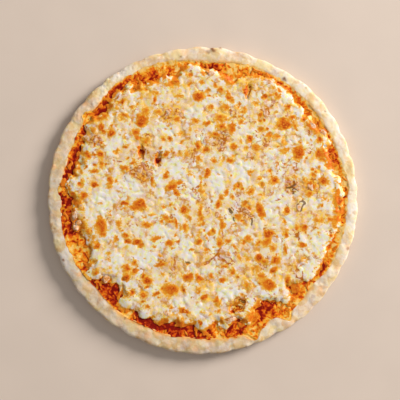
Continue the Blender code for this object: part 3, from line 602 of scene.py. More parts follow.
def dough_finish():
    """Pale baked dough: cream, warm mottle, flour and painted light, painted shade, toasted spots, oil by
    the sauce.
    """
    look = Finish("baked_dough", 0.72, Subsurface_Weight=0.15, Subsurface_Scale=0.003,
                  Subsurface_Radius=(1.0, 0.6, 0.35))
    warm = look.range(look.noise(11 * MM, 3.0), 0.35, 0.7)
    fine = look.range(look.noise(2.2 * MM, 3.0), 0.4, 0.75)
    colour = look.mix(warm, (0.72, 0.585, 0.41), (0.62, 0.43, 0.245))
    # Whiter with flour, and whiter still as painted light on the side towards the lamp.
    colour = look.mix(look.attribute("flour_and_lit_side", 0.8), colour, (0.74, 0.66, 0.51))
    colour = look.mix(look.math("MULTIPLY", fine, 0.3), colour, (0.75, 0.64, 0.46))
    hue, tan, dusty = (look.noise(10.0 * MM, 3.0, 0.4), look.noise(7.5 * MM, 4.0, 0.8),
                       look.noise(6.0 * MM, 4.0, 1.2))
    for value, low, high, tint in ((hue, 0.48, 0.62, (0.975, 0.91, 0.66)),
                                   (hue, 0.48, 0.36, (0.97, 0.99, 1.14)),
                                   (tan, 0.50, 0.64, (0.94, 0.81, 0.68)),
                                   (dusty, 0.53, 0.66, (1.03, 1.05, 1.12))):
        colour = look.mix(look.range(value, low, high), colour, tint, "MULTIPLY")
    # Painted shade: the dough is darker and greyer on the side away from the lamp.
    colour = look.mix(look.attribute("painted_shade"), colour, (0.87, 0.87, 0.90), "MULTIPLY")
    baked = look.range(look.noise(6 * MM, 4.0, 0.6), 0.42, 0.72)
    bottom = look.mix(baked, (0.62, 0.42, 0.22), (0.36, 0.165, 0.055))
    colour = look.mix(look.attribute("underside"), colour, bottom)
    colour = look.mix(look.attribute("tinted", 0.9), colour, (0.78, 0.43, 0.20))
    colour = look.mix(look.attribute("oiled", 0.85), colour, (0.70, 0.33, 0.06))
    speckle = look.range(look.noise(1.5 * MM, 3.0), 0.1, 0.5)
    toast = look.math("MULTIPLY", look.attribute("toasted"), speckle)
    colour = look.mix(toast, colour, (0.22, 0.075, 0.016))
    look.bump(((look.noise(2.2 * MM, 4.0), 0.22 * MM), (look.noise(0.5 * MM, 2.0), 0.05 * MM)))
    return look.colour(colour)


def make_dough():
    """Dough base with its raised, crimped rim, small bubbles and pits."""
    width = RIM_RADIUS - SAUCE_RADIUS
    outside = [(SAUCE_RADIUS + across * width, up * MM) for across, up in RIM_SECTION]
    slope = [outside[-1], (SAUCE_RADIUS - FLOOR_INSET, DOUGH_TOP)]
    underside = [(radius * MM, 0.0) for radius in UNDERSIDE_RINGS]
    level = [(radius * MM, DOUGH_TOP) for radius in LEVEL_RINGS]
    rim = resample(outside, DOUGH_PITCH) + resample(slope, DOUGH_PITCH)[1:]
    dough = grow_rings("dough", DOUGH_STEPS, underside + rim + level)
    points = read_points(dough)
    radius, angle = polar(points)
    across = (radius - SAUCE_RADIUS) / width
    on_underside = (points[:, 2] < 0.01 * MM) & (across < RIM_SECTION[0][0] - 0.01)
    is_rim = (across > -0.001) & ~on_underside
    # Inside the rim the rings follow the sauce's bays less and less towards the middle.
    share_in = np.clip(radius / SAUCE_RADIUS, 0.0, 1.0)
    inner = sauce_radius(angle)
    new_radius = np.where(is_rim, inner + across * (rim_radius(angle) - inner),
                          radius + (inner - SAUCE_RADIUS) * share_in ** 6)
    points[:, :2] *= (new_radius / radius)[:, None]
    points[:, 2] += rim_rise(points[:, 2], angle)
    write_points(dough, points)
    roughen_rim(dough, points, across, is_rim)
    keep_in_box(dough)
    return dough


def rim_rise(height, angle):
    """What the rim's waves and crimps add to the dough at a height over the table."""
    rise = (waves(angle, RIM_WAVES) + CRIMP_RISE * (crimp(angle) - CRIMP_MIDDLE)
            + swells(angle, (RIM_BLISTER,)))
    return rise * smooth((height - DOUGH_TOP - 0.5 * MM) / (RIM_TOP - DOUGH_TOP))


def rim_spot(turn, place):
    """Point over the rim, place 0 at the sauce and 1 at the outside."""
    inner = sauce_radius(turn)
    return np.array(from_polar(inner + place * (rim_radius(turn) - inner), turn))


def roughen_rim(dough, points, across, is_rim):
    """Soft unevenness, bubbles and pits pushed along the rim's own normals."""
    normals = read_normals(dough)
    rng = random.Random(BUBBLE_SEED)
    free = is_rim & (points[:, 2] > 2.0 * MM)
    # Wide and fine unevenness in mm, with more of it away from the sauce.
    push = 0.30 * field(points, 9 * MM, 3) + 0.12 * field(points, 3.2 * MM, 4) - 0.15
    push += (0.24 * field(points, 5.5 * MM, 5) + 0.10 * field(points, 2.6 * MM, 6)) * smooth(across * 3.0)
    spots = [(turn, place, *DEEP_PIT_SIZE) for turn, place in DEEP_PITS]
    patch_middle, patch_half_width, patch_share = ROUGH_PATCH
    for _ in range(BUBBLES):
        turn = rng.uniform(0, 360)
        if rng.random() < patch_share:
            turn = rng.gauss(patch_middle, patch_half_width)
        spots.append((turn, rng.uniform(0.05, 1.0), rng.uniform(0.8, 2.6), rng.uniform(0.12, 0.4)))
    for _ in range(PITS):
        spots.append((rng.uniform(0, 360), rng.uniform(0.1, 1.0), rng.uniform(0.5, 1.0),
                      -rng.uniform(0.2, 0.5)))
    for turn, place, size, height in spots + list(BLISTERS):
        away = np.hypot(*(points[:, :2] - rim_spot(turn, place)).T) / (size * MM)
        near = away < 1.0
        push[near] += height * smooth(1.0 - away[near])
    write_points(dough, points + normals * (push * MM * free)[:, None])


def keep_in_box(piece):
    """The looks never reach past the part's own box."""
    low, high = np.array(CAD_BOX) + outline_centre()
    write_points(piece, np.clip(read_points(piece), low, high))


def paint_dough(dough):
    """Where the dough is toasted, tinted, oily, white with flour and painted light, or painted shade, and
    its underside.
    """
    points = read_points(dough)
    radius, angle = polar(points)
    inner = sauce_radius(angle)
    across = (radius - inner) / (rim_radius(angle) - inner)
    upper = points[:, 2] > 1.0 * MM
    ragged = 0.35 * field(points, 2.2 * MM, 8)
    for name, table in (("toasted", TOASTED), ("tinted", TINTED)):
        share = np.zeros(len(points))
        for turn, place, size, strength in table:
            away = np.hypot(*(points[:, :2] - rim_spot(turn, place)).T) / (size * MM) + ragged
            share = np.maximum(share, strength * smooth(1.25 - away))
        paint(dough, name, share * upper)
    # White with flour, and painted light on the side towards the lamp.
    paint(dough, "flour_and_lit_side", 0.8 * arc_share(angle, FLOUR_AND_LIT_SIDE) + 0.3 * field(points, 12 * MM, 10))
    # Painted shade on the side away from the lamp.
    paint(dough, "painted_shade", arc_share(angle, SHADED_SIDE))
    seep = (0.16 + 0.12 * field(points, 4 * MM, 9) + 0.05 * facing(angle, OILY_SIDE)
            + 0.14 * arc_share(angle, OILY_RIM))
    paint(dough, "oiled", smooth((seep - across) / 0.2) * (points[:, 2] > DOUGH_TOP - 1.0 * MM))
    paint(dough, "underside", smooth(1.0 - points[:, 2] / UNDERSIDE_FADE))


# ---------------------------------------------------------------- sauce
SAUCE_STEPS = 1000
SAUCE_EDGE = 0.9 * MM            # how far the sauce climbs the rim's inner slope
SAUCE_BASE = DOUGH_TOP + 0.1 * MM
# Distances in from the sauce's mean edge at which its top has wide rings of points, in mm, and
# from where on and at which step it has narrow ones.
SAUCE_INSETS = (126, 105, 85, 65, 50, 40, 34)
FINE_RINGS = (30 * MM, 1.0 * MM)
# Its edge and its underside: (outward from that edge, height).
SAUCE_SIDE = ((-0.4 * MM, SAUCE_TOP), (SAUCE_EDGE, SAUCE_TOP - 0.1 * MM), (-3.2 * MM, SAUCE_BASE))
UNDER_RING = 60 * MM             # radius of the innermost ring of its underside
BAY_START = 90 * MM              # from this radius on its rings follow its bays, fully after the run
BAY_RUN = 50 * MM
SAUCE_LIT_SIDE = 50.0            # in degrees, the side towards the lamp: the sauce is painted lighter there and darker opposite, as painted light and shade
LEAST_OPEN = 3.0 * MM            # its tone runs over at least this width
# The dough's inner slope: outward from the sauce's mean edge and up from the floor, in mm.
INNER_SLOPE = ((-2.6, 0.0, 1.8, 4.3), (9.0, 11.15, 11.37, 11.4))
# The sauce is drawn up towards the rim over this width.
SAUCE_LIFT = 0.45 * MM
SAUCE_LIFT_RUN = 7.5 * MM
# Round the open sauce, the dark red places, thick sauce and painted shade beside the cheese, and the thin
# yellow oily ones, as (middle in degrees, half width).
DARK_RED_AND_SHADED_SAUCE = ((16, 1.2), (86, 1.6), (106, 1.6), (111, 2), (127, 1.8), (133, 3.2), (139, 2.4),
              (151, 2.6), (160, 2.6), (165, 2.4), (171, 1.8), (180, 2.6), (190, 1.5), (194.5, 2.0),
              (219, 2), (225, 3.4), (229, 2.2), (240, 3.4), (248, 4), (257, 3), (266, 2.5),
              (272, 2), (282, 2), (287, 1.6), (299, 2), (303, 1.6), (316, 1.8), (331, 1.6))
YELLOW_OIL = ((6.5, 1.8), (10, 2), (37, 1.6), (49, 1.6), (68, 1.6), (76, 2), (95, 2.5), (101, 3),
              (107, 3), (144.5, 1.5), (176, 1.5), (201, 4), (206, 2), (236, 2.2), (278, 2),
              (290.5, 2), (306, 2), (312, 2), (319, 2), (338, 2.5), (347, 2))


def sauce_finish():
    """Rough tomato sauce: dark red by the cheese, partly painted shade, bright orange oil towards the rim.
    """
    look = Finish("tomato_sauce", 0.36, Subsurface_Weight=0.15, Subsurface_Scale=0.002,
                  Subsurface_Radius=(1.0, 0.35, 0.12), Specular_IOR_Level=0.1)
    pulp = look.math("SUBTRACT", look.range(look.noise(5.5 * MM, 2.0, 1.0), 0.34, 0.66), 0.5)
    shade = look.math("ADD", look.attribute("tone"), look.math("MULTIPLY", pulp, 0.56))
    seeds = look.math("SUBTRACT", look.noise(2.2 * MM, 2.0, 0.5), 0.5)
    shade = look.math("ADD", shade, look.math("MULTIPLY", seeds, 0.72))
    colour = look.ramp(shade, ((0.0, (0.19, 0.004, 0.001)), (0.2, (0.41, 0.027, 0.002)),
                               (0.42, (0.64, 0.12, 0.004)), (0.6, (0.75, 0.235, 0.01)),
                               (0.8, (0.76, 0.37, 0.035)), (1.0, (0.77, 0.48, 0.15))))
    look.bump(((pulp, 0.12 * MM), (seeds, 0.15 * MM)))
    return look.colour(colour)


def sauce_lift(points):
    """How much higher the sauce's top is than in the middle."""
    radius, angle = polar(points)
    share = np.maximum((radius - sauce_radius(angle)) / SAUCE_LIFT_RUN + 0.95,
                       (radius - SAUCE_RADIUS) / (3 * MM))
    return SAUCE_LIFT * smooth(share)


def make_sauce():
    """Thin uneven layer in the dough's recess, which climbs a little up the rim's inner slope."""
    start, step = FINE_RINGS
    rings = [SAUCE_RADIUS - inset * MM for inset in SAUCE_INSETS]
    rings += list(np.arange(SAUCE_RADIUS - start, SAUCE_RADIUS - step, step))
    top = [(radius, SAUCE_TOP) for radius in rings]
    side = [(SAUCE_RADIUS + outward, height) for outward, height in SAUCE_SIDE]
    sauce = grow_rings("sauce", SAUCE_STEPS, top + side + [(UNDER_RING, SAUCE_BASE)])
    points = read_points(sauce)
    radius, angle = polar(points)
    on_top = points[:, 2] > SAUCE_TOP - 0.2 * MM
    reach = smooth((radius - BAY_START) / BAY_RUN)
    ragged = 0.8 * MM * field(points, 3.0 * MM, 21) + 0.9 * MM * field(points, 7.0 * MM, 22)
    ragged = np.maximum(ragged, -0.5 * MM)
    edge_share = smooth((radius - SAUCE_RADIUS + 4 * MM) / (4 * MM))
    new_radius = radius + (sauce_radius(angle) - SAUCE_RADIUS) * reach + ragged * edge_share * on_top
    outward = new_radius - sauce_radius(angle)
    film = smooth((SAUCE_EDGE + ragged * edge_share - outward) / (2.5 * MM))
    lumps = 0.1 * MM + 0.3 * MM * field(points, 4.5 * MM, 23) + 0.12 * MM * field(points, 2.1 * MM, 24)
    slope = np.interp(outward / MM, *INNER_SLOPE) * MM
    slope += rim_rise(slope, angle) + (0.4 * film - 0.05) * MM + np.maximum(lumps, 0.0) * film
    points[:, :2] *= (new_radius / radius)[:, None]
    level = np.maximum(SAUCE_TOP + sauce_lift(points) * film + lumps, slope)
    up = level + (slope - level) * smooth((outward + FLOOR_INSET) / (2.0 * MM))
    points[:, 2] = np.where(on_top, up, points[:, 2])
    write_points(sauce, points)
    paint_sauce(sauce)
    return sauce


def paint_sauce(sauce):
    """Tone of the open sauce, from 0, thick and dark, to 1, a thin yellow film of oil, with painted light
    and shade.
    """
    points = read_points(sauce)
    radius, angle = polar(points)
    open_width = np.maximum(sauce_radius(angle) - cheese_radius(angle), LEAST_OPEN)
    outward = 1.0 - (sauce_radius(angle) - radius) / open_width
    # Dark red beside the cheese: thick sauce, and painted shade beside the cheese's edge.
    dark = arc_share(angle + 2.0 * field(points, 4 * MM, 26), DARK_RED_AND_SHADED_SAUCE)
    dark = dark * np.minimum(8 * MM / open_width, 1.0)
    oil = arc_share(angle + 2.0 * field(points, 4 * MM, 27), YELLOW_OIL)
    # Painted light and shade: the tone is raised on the side towards the lamp and lowered on the far side.
    right = facing(angle, SAUCE_LIT_SIDE)
    tone = (0.36 + 0.09 * right + 0.10 * smooth(outward)
            + (0.22 + 0.26 * right) * smooth(outward * 4.0 - 3.0)
            - 0.48 * dark * smooth(1.35 - outward) + 0.42 * oil
            + (0.19 - 0.05 * right) * field(points, 5 * MM, 25)
            + (0.12 - 0.06 * right) * field(points, 2 * MM, 28))
    paint(sauce, "tone", tone)


# ---------------------------------------------------------------- cheese
CHEESE_SEED = 5
SHRED_PITCH = 5.2 * MM
ROW_SHARE = 0.866                # from one row of shreds to the next, as a share of their pitch
SHRED_CUTS = (2, 3, 3, 4, 1)     # how finely the bar that each kind of shred starts from is cut
GRAINS = (0, 4)                  # the rounder ones of those kinds
SHEET_THICKNESS = 1.2 * MM
SHEET_CELL = 1.6 * MM
SHEET_MARGIN = 1.5 * MM          # the sheet ends this far inside the cheese's edge
SHRED_MARGIN = 0.8 * MM          # no shred's middle lies nearer to the edge than this
SHRED_OVERHANG = 3.0 * MM        # a shred reaches at most this far over the edge
OPENING_MARGIN = 1.0 * MM        # the cheese reaches this far into its openings
CLUMP_BULGE = 4.5 * MM           # the edge bulges out by this much where the white clumps lie
EDGE_BAY = 5.5 * MM              # depth of the small random bays of the edge
EDGE_BAY_RUN = 9 * MM
WANDER = 1.2                     # how far straight lines wander, in mm
LINE_WIDTH = 0.9 * MM            # of cracks, strokes and seams
LONE_GAP = 9.0 * MM              # stands for the next lump where none is near
PLACE_RISE = 1.3 * MM            # how high over the cheese's underside raised places have their middle
BLISTER_MARGIN = 0.8             # how much wider than its brown a blister is, in mm
TURKEY_MARGIN = 1.2              # how much farther than the turkey the cheese over it is lifted, in mm
VOXEL = 0.7 * MM
CHEESE_TRIANGLES = 190000
SMALL_SPOTS = 260
RING_BITS = 80
# How melting evens the cheese out: heights over its underside in mm, before and after.
MELTED = ((-0.2, 0.0, 1.3, 2.4, 3.4), (-0.2, 0.0, 1.9, 2.3, 2.55))
# The cheese thins out over this width at its edge, more on the left, to this share of its height.
THIN_RUN = 6.0 * MM
THIN_RUN_LEFT = 5.5 * MM
THIN_SHARE = 0.32
# Its very edge sinks into the sauce, by this much in mm.
EDGE_SINK = 0.45
EDGE_RUN = 2.5 * MM
OPENING_RUN = 1.6 * MM
# Pale clumps at the edge, less browned: (x, y, radius) in mm.
EDGE_CLUMPS = ((64, 115, 5), (83, 99, 5), (95, 88, 5), (119, 63, 4), (122, 57, 4), (137, 5, 3),
               (-73, 113, 4), (-115, 72, 3), (-78, -101, 6), (-58, -112, 5), (-112, -74, 5),
               (134, -24, 3), (113, -53, 7), (104, -71, 7), (-127, 18, 3), (-9, 128, 5))
# Wider golden and pale places of the cheese, and places painted darker and greyer: (x, y, radius) in mm.
GOLDEN = ((-62, 28, 9), (20, 86, 9), (33, 87, 7), (43, -72, 8), (44, -61, 6), (59, -40, 8), (38, 118, 8),
          (-26, 108, 6), (-28, 87, 5), (-55, 106, 7), (116, -17, 8), (63, 102, 5), (4, -96, 6),
          (-72, -72, 7), (-55, -79, 7), (-78, 82, 6), (88, -88, 7), (-106, 58, 6))
PALE = ((-35, 71, 7), (-26, 35, 8), (40, 30, 8), (14, 20, 8), (38, 67, 8),
        (-8, 86, 7), (-69, 15, 7), (-99, 0, 9), (-18, -49, 10), (-44, -31, 8),
        (-59, -56, 9), (-85, -56, 7), (25, -89, 9), (116, -41, 9), (109, -3, 6),
        (79, 102, 6), (54, 100, 5), (103, 62, 7), (-89, 49, 6), (86, -20, 6))
DARKER_GREY_PLACES = ((17, 62, 7), (89, 13, 8), (36, -7, 8), (24, -56, 7), (-40, -62, 7), (59, -62, 8),
        (118, -62, 6), (-45, 43, 6), (-106, 58, 7), (108, 70, 8), (88, -88, 7),
        (0, -115, 5), (25, -117, 5), (119, 20, 5))
# Round the cheese's edge, where it is soaked far in and where it stays clean: (middle, half width).
STAINED_EDGE = ((2, 5), (19, 5), (33, 4), (62, 3), (78, 3), (105, 5), (140, 3), (182, 6), (194, 7),
                (230, 2), (257, 6), (290, 3), (305, 3), (351, 2))
CLEAN_EDGE = ((26, 2), (46, 5), (54, 3), (73, 2), (130, 4), (215, 3), (240, 4), (320, 3), (328, 5))
# Painted colours of the cheese, one over another: (name, how much a coarse and a fine mottle break
# it up, the values between which it fades in, its share at the most, colour).
CHEESE_COLOURS = (("pink", 0.9, 0.7, 0.4, 1.0, 0.8, (0.63, 0.42, 0.25)),
                  ("grainy", 0.5, 1.2, 0.3, 1.0, 1.0, (0.66, 0.31, 0.06)),
                  ("seam", 0.7, 0.6, 0.22, 0.9, 1.0, (0.58, 0.25, 0.04)),
                  ("stained", 0.5, 0.3, 0.35, 0.85, 1.0, (0.44, 0.125, 0.004)))
# One bit of cheese or turkey: which model, where, half sizes, turned and tilted and bent by how
# much, and how yellow and tan its colour is.
Lump = namedtuple("Lump", "shape place size turn tilt bend yellow tan")


def lump_shapes():
    """Melted shreds, modelled once each along X: half length 1, half width and height 1."""
    shapes = []
    for index, cuts in enumerate(SHRED_CUTS):
        bpy.ops.mesh.primitive_cube_add(size=2.0)
        shred = take_new(f"shred_{index}")
        edit_all()
        bpy.ops.mesh.subdivide(number_cuts=cuts)
        bpy.ops.object.mode_set(mode="OBJECT")
        apply_modifier(shred, "SUBSURF", levels=1, render_levels=1)
        points = read_points(shred) / np.abs(read_points(shred)).max(0)
        # Rounds the bar's square section and the corners of its plan.
        points[:, 1:] *= np.sqrt(1.0 - 0.42 * points[:, 2:0:-1] ** 2)
        points[:, :2] *= np.sqrt(1.0 - 0.45 * points[:, 1::-1] ** 2)
        points[:, 1] *= 1.0 - 0.3 * np.abs(points[:, 0]) ** 3
        shapes.append((points, [tuple(face.vertices) for face in shred.data.polygons]))
        bpy.data.objects.remove(shred)
    return shapes


def scatter(name, shapes, lumps):
    """Joined copies of modelled shapes, each bent, scaled, turned and put in its place."""
    all_points, all_faces, start = [], [], 0
    for lump in lumps:
        points, polygons = shapes[lump.shape]
        local = points * np.array(lump.size)
        if abs(lump.bend) > 0.01:
            # Bends the piece sideways along an arc of the given angle.
            radius = 2.0 * lump.size[0] / lump.bend
            around = local[:, 0] / radius
            side = radius - local[:, 1]
            local = np.stack([side * np.sin(around), radius - side * np.cos(around), local[:, 2]], 1)
        local[:, 2] += local[:, 0] * lump.tilt
        cos_turn, sin_turn = math.cos(lump.turn), math.sin(lump.turn)
        all_points.append(np.stack([local[:, 0] * cos_turn - local[:, 1] * sin_turn + lump.place[0],
                                    local[:, 0] * sin_turn + local[:, 1] * cos_turn + lump.place[1],
                                    local[:, 2] + lump.place[2]], 1))
        all_faces += [tuple(start + index for index in face) for face in polygons]
        start += len(points)
    mesh = bpy.data.meshes.new(name)
    mesh.from_pydata(np.concatenate(all_points).tolist(), [], all_faces)
    piece = bpy.data.objects.new(name, mesh)
    bpy.context.scene.collection.objects.link(piece)
    return piece


def wandering(points):
    """The points' x and y, shifted a little at random, so that straight lines become uneven."""
    return points[:, :2] + np.stack([field(points, 3 * MM, 47), field(points, 3 * MM, 48)], 1) * WANDER * MM


def opening_inset(points):
    """Distance out from the nearest opening, negative inside it."""
    inset = np.full(len(points), 1.0)
    flat = wandering(points)
    for x, y, half_length, half_width, turn in OPENINGS:
        along, over = turned(flat[:, 0] - x * MM, flat[:, 1] - y * MM, turn)
        reach = np.hypot(along / (half_length * MM), over / (half_width * MM)) - 1.0
        inset = np.minimum(inset, reach * half_width * MM)
    return inset


def edge_inset(points):
    """Distance in from the cheese's edge, ragged at random."""
    radius, angle = polar(points)
    # The edge bulges out where the white clumps lie, as far as the sauce reaches.
    bulge = CLUMP_BULGE * near_places(points, EDGE_CLUMPS)
    inset = np.minimum(cheese_radius(angle) + bulge, sauce_radius(angle) - CHEESE_MARGIN) - radius
    bay = np.clip(0.2 + field(points, 7 * MM, 33) + 0.5 * field(points, 3.5 * MM, 34), 0.0, 1.0)
    return inset - (EDGE_BAY - bulge) * bay * smooth(1.6 - inset / EDGE_BAY_RUN)


def cheese_inset(points):
    """Distance in from the cheese's edge and out from its openings."""
    return np.minimum(edge_inset(points), opening_inset(points) + OPENING_MARGIN)


def near_places(points, table):
    """1 at the middle of any (x, y, radius) place in the table, fading to 0 beyond it."""
    share = np.zeros(len(points))
    for x, y, radius in table:
        away = np.hypot(points[:, 0] - x * MM, points[:, 1] - y * MM) / (radius * MM)
        share = np.maximum(share, smooth(1.5 - away))
    return share


def cheese_sheet():
    """Melted sheet under the shreds: a grid trimmed to the cheese's outline."""
    side = 2.0 * SAUCE_RADIUS
    cells = int(side / SHEET_CELL)
    bpy.ops.mesh.primitive_grid_add(x_subdivisions=cells, y_subdivisions=cells, size=side,
                                    location=(0, 0, CHEESE_BOTTOM + 0.1 * MM))
    sheet = take_new("cheese_sheet")
    place_in_mesh(sheet)
    drop = cheese_inset(read_vectors(sheet.data.polygons, "center")) < SHEET_MARGIN
    bpy.ops.object.mode_set(mode="EDIT")
    bpy.ops.mesh.select_mode(type="FACE")
    bpy.ops.mesh.select_all(action="DESELECT")
    bpy.ops.object.mode_set(mode="OBJECT")
    sheet.data.polygons.foreach_set("select", drop)
    bpy.ops.object.mode_set(mode="EDIT")
    bpy.ops.mesh.delete(type="FACE")
    bpy.ops.mesh.select_all(action="SELECT")
    bpy.ops.mesh.extrude_region_move(TRANSFORM_OT_translate={"value": (0.0, 0.0, SHEET_THICKNESS)})
    face_out()
    return sheet


def melted_shreds():
    """Where the shreds lie: an uneven lattice over the cheese, each with its own size and turn."""
    rng = random.Random(CHEESE_SEED)
    lumps = []
    rows = int(2 * SAUCE_RADIUS / (SHRED_PITCH * ROW_SHARE))
    columns = int(2 * SAUCE_RADIUS / SHRED_PITCH)
    for row in range(rows):
        for column in range(columns):
            x = -SAUCE_RADIUS + (column + 0.5 * (row % 2) + rng.uniform(-0.5, 0.5)) * SHRED_PITCH
            y = -SAUCE_RADIUS + (row * ROW_SHARE + rng.uniform(-0.5, 0.5)) * SHRED_PITCH
            length, width = rng.uniform(3.2, 7.6) * MM, rng.uniform(1.7, 2.8) * MM
            height, level = rng.uniform(0.7, 1.1) * MM, rng.uniform(0.6, 1.9) * MM
            turn, bend = rng.uniform(0.0, math.pi), rng.uniform(-1.3, 1.3)
            tilt, yellow = rng.uniform(-0.06, 0.06), rng.random()
            shape, chance = rng.randrange(len(SHRED_CUTS)), rng.random()
            spot = np.array([[x, y, 0.0]])
            inset = float(cheese_inset(spot)[0])
            # A few are left out, and most of those in the crumbly places.
            if inset < SHRED_MARGIN or chance < 0.05 + 0.75 * float(near_places(spot, CRUMBLY)[0]):
                continue
            # Near the edge the shreds are shorter, so that few reach far over it.
            length = min(length, inset + SHRED_OVERHANG)
            lumps.append(Lump(shape, (x, y, CHEESE_BOTTOM + level + 0.3 * MM),
                              (length, width, height), turn, tilt, bend, yellow, 0.0))
    return lumps


def crumbs():
    """Small grains of cheese and chopped turkey in the crumbly places."""
    rng = random.Random(CHEESE_SEED + 3)
    lumps = []
    for x, y, radius in CRUMBLY:
        for _ in range(int(radius * radius * 0.42)):
            away, turn = radius * math.sqrt(rng.random()) * 1.1, rng.uniform(0, 2 * math.pi)
            place = ((x + away * math.cos(turn)) * MM, (y + away * math.sin(turn)) * MM,
                     CHEESE_BOTTOM + rng.uniform(1.2, 2.3) * MM)
            size = (rng.uniform(1.1, 2.3) * MM, rng.uniform(0.9, 1.4) * MM, rng.uniform(0.7, 1.1) * MM)
            lumps.append(Lump(rng.choice(GRAINS), place, size, rng.uniform(0, math.pi), 0.0, 0.0,
                              rng.uniform(0.0, 0.6), rng.uniform(0.2, 1.0)))
    return lumps


def raised_places():
    """Browned blisters, cheese lifted over the turkey, and white clumps at the edge."""
    rng = random.Random(CHEESE_SEED + 1)
    lumps = []
    for x, y, half_length, half_width, turn, strength in BROWNED:
        if half_length < 4 or strength < 0.5:
            continue
        size = ((half_length + BLISTER_MARGIN) * MM, (half_width + BLISTER_MARGIN) * MM,
                (1.1 + 0.09 * half_length) * MM)
        lumps.append(Lump(4, (x * MM, y * MM, CHEESE_BOTTOM + PLACE_RISE), size, math.radians(turn),
                          0.0, 0.0, 0.5, 0.0))
    for x, y, length, width, turn in TURKEY:
        size = ((length / 2 + TURKEY_MARGIN) * MM, (width / 2 + TURKEY_MARGIN) * MM, 1.5 * MM)
        lumps.append(Lump(0, (x * MM, y * MM, CHEESE_BOTTOM + PLACE_RISE), size, math.radians(turn),
                          0.0, 0.0, 0.3, 0.3))
    for x, y, radius in EDGE_CLUMPS:
        for _ in range(3):
            place = ((x + rng.uniform(-0.5, 0.5) * radius) * MM,
                     (y + rng.uniform(-0.5, 0.5) * radius) * MM, CHEESE_BOTTOM + 1.5 * MM)
            size = (radius * 0.8 * MM, radius * 0.5 * MM, 1.2 * MM)
            lumps.append(Lump(rng.randrange(len(SHRED_CUTS)), place, size, rng.uniform(0, math.pi), 0.0,
                              rng.uniform(-1, 1), 0.0, 0.0))
    return lumps


def ring_bits():
    """Small golden bits of cheese that lie on the open sauce."""
    rng = random.Random(CHEESE_SEED + 4)
    lumps = []
    for _ in range(RING_BITS):
        turn, share = rng.uniform(0, 360), rng.uniform(0.1, 0.75)
        inner, outer = float(cheese_radius(turn)), float(sauce_radius(turn))
        away = inner + share * (outer - inner)
        size = (rng.uniform(1.8, 4.2) * MM, rng.uniform(1.2, 2.0) * MM, rng.uniform(0.9, 1.2) * MM)
        place = (*from_polar(away, turn), CHEESE_BOTTOM + 0.3 * MM)
        lumps.append(Lump(rng.choice(GRAINS), place, size, rng.uniform(0, math.pi), 0.0,
                          rng.uniform(-1, 1), rng.uniform(0.1, 0.9), rng.uniform(0.0, 2.6)))
    return lumps


def make_cheese():
    """Shreds, blisters and clumps melted into one skin over the sheet."""
    lumps = melted_shreds() + crumbs() + raised_places() + ring_bits()
    shreds = scatter("cheese_shreds", lump_shapes(), lumps)
    cheese = cheese_sheet()
    only(cheese)
    shreds.select_set(True)
    bpy.ops.object.join()
    take_new("cheese")
    apply_modifier(cheese, "REMESH", mode="VOXEL", voxel_size=VOXEL, adaptivity=0.0)
    apply_modifier(cheese, "SMOOTH", factor=0.5, iterations=9)
    triangles = sum(len(face.vertices) - 2 for face in cheese.data.polygons)
    if triangles > CHEESE_TRIANGLES:
        apply_modifier(cheese, "DECIMATE", decimate_type="COLLAPSE", ratio=CHEESE_TRIANGLES / triangles)
    points = read_points(cheese)
    inset = edge_inset(points)
    rise = (points[:, 2] - CHEESE_BOTTOM) / MM
    by_opening = smooth(1.0 - opening_inset(points) / OPENING_RUN)
    thin = thinned(inset, polar(points)[1]) * (1.0 - 0.6 * by_opening)
    melted = np.interp(rise, *MELTED) * thin - EDGE_SINK * smooth(1.0 - inset / EDGE_RUN)
    made = points.copy()
    points[:, 2] = CHEESE_BOTTOM + sauce_lift(points) + melted * MM
    write_points(cheese, points)
    paint_cheese(cheese, made, lumps, inset, melted)
    return cheese


def thinned(inset, angle):
    """Share of its height that the cheese keeps at a distance in from its edge."""
    run = THIN_RUN + THIN_RUN_LEFT * lower_left(angle)
    return THIN_SHARE + (1.0 - THIN_SHARE) * smooth(inset / run)


def nearest_lumps(points, lumps):
    """For each point the lump that it belongs to, and how much farther away the next one is."""
    tree = kdtree.KDTree(len(lumps) * 3)
    for index, lump in enumerate(lumps):
        for step, share in enumerate((-0.6, 0.0, 0.6)):
            tree.insert((lump.place[0] + share * lump.size[0] * math.cos(lump.turn),
                         lump.place[1] + share * lump.size[0] * math.sin(lump.turn),
                         lump.place[2]), index * 3 + step)
    tree.balance()
    owner, gap = np.zeros(len(points), int), np.full(len(points), LONE_GAP)
    for row, point in enumerate(points.tolist()):
        found = tree.find_n(point, 6)
        owner[row] = found[0][1] // 3
        for _, index, away in found[1:]:
            if index // 3 != owner[row]:
                gap[row] = away - found[0][2]
                break
    return owner, gap


def line_share(points, table):
    """1 on the middle line of a crack or stroke, fading to 0 beside it."""
    share = np.zeros(len(points))
    flat = wandering(points)
    for start_x, start_y, end_x, end_y in table:
        start = np.array([start_x, start_y]) * MM
        run = np.array([end_x, end_y]) * MM - start
        along = np.clip((flat - start) @ run / (run @ run), 0.0, 1.0)
        away = np.hypot(*(flat - start - along[:, None] * run).T)
        share = np.maximum(share, smooth(1.5 - away / LINE_WIDTH))
    return share


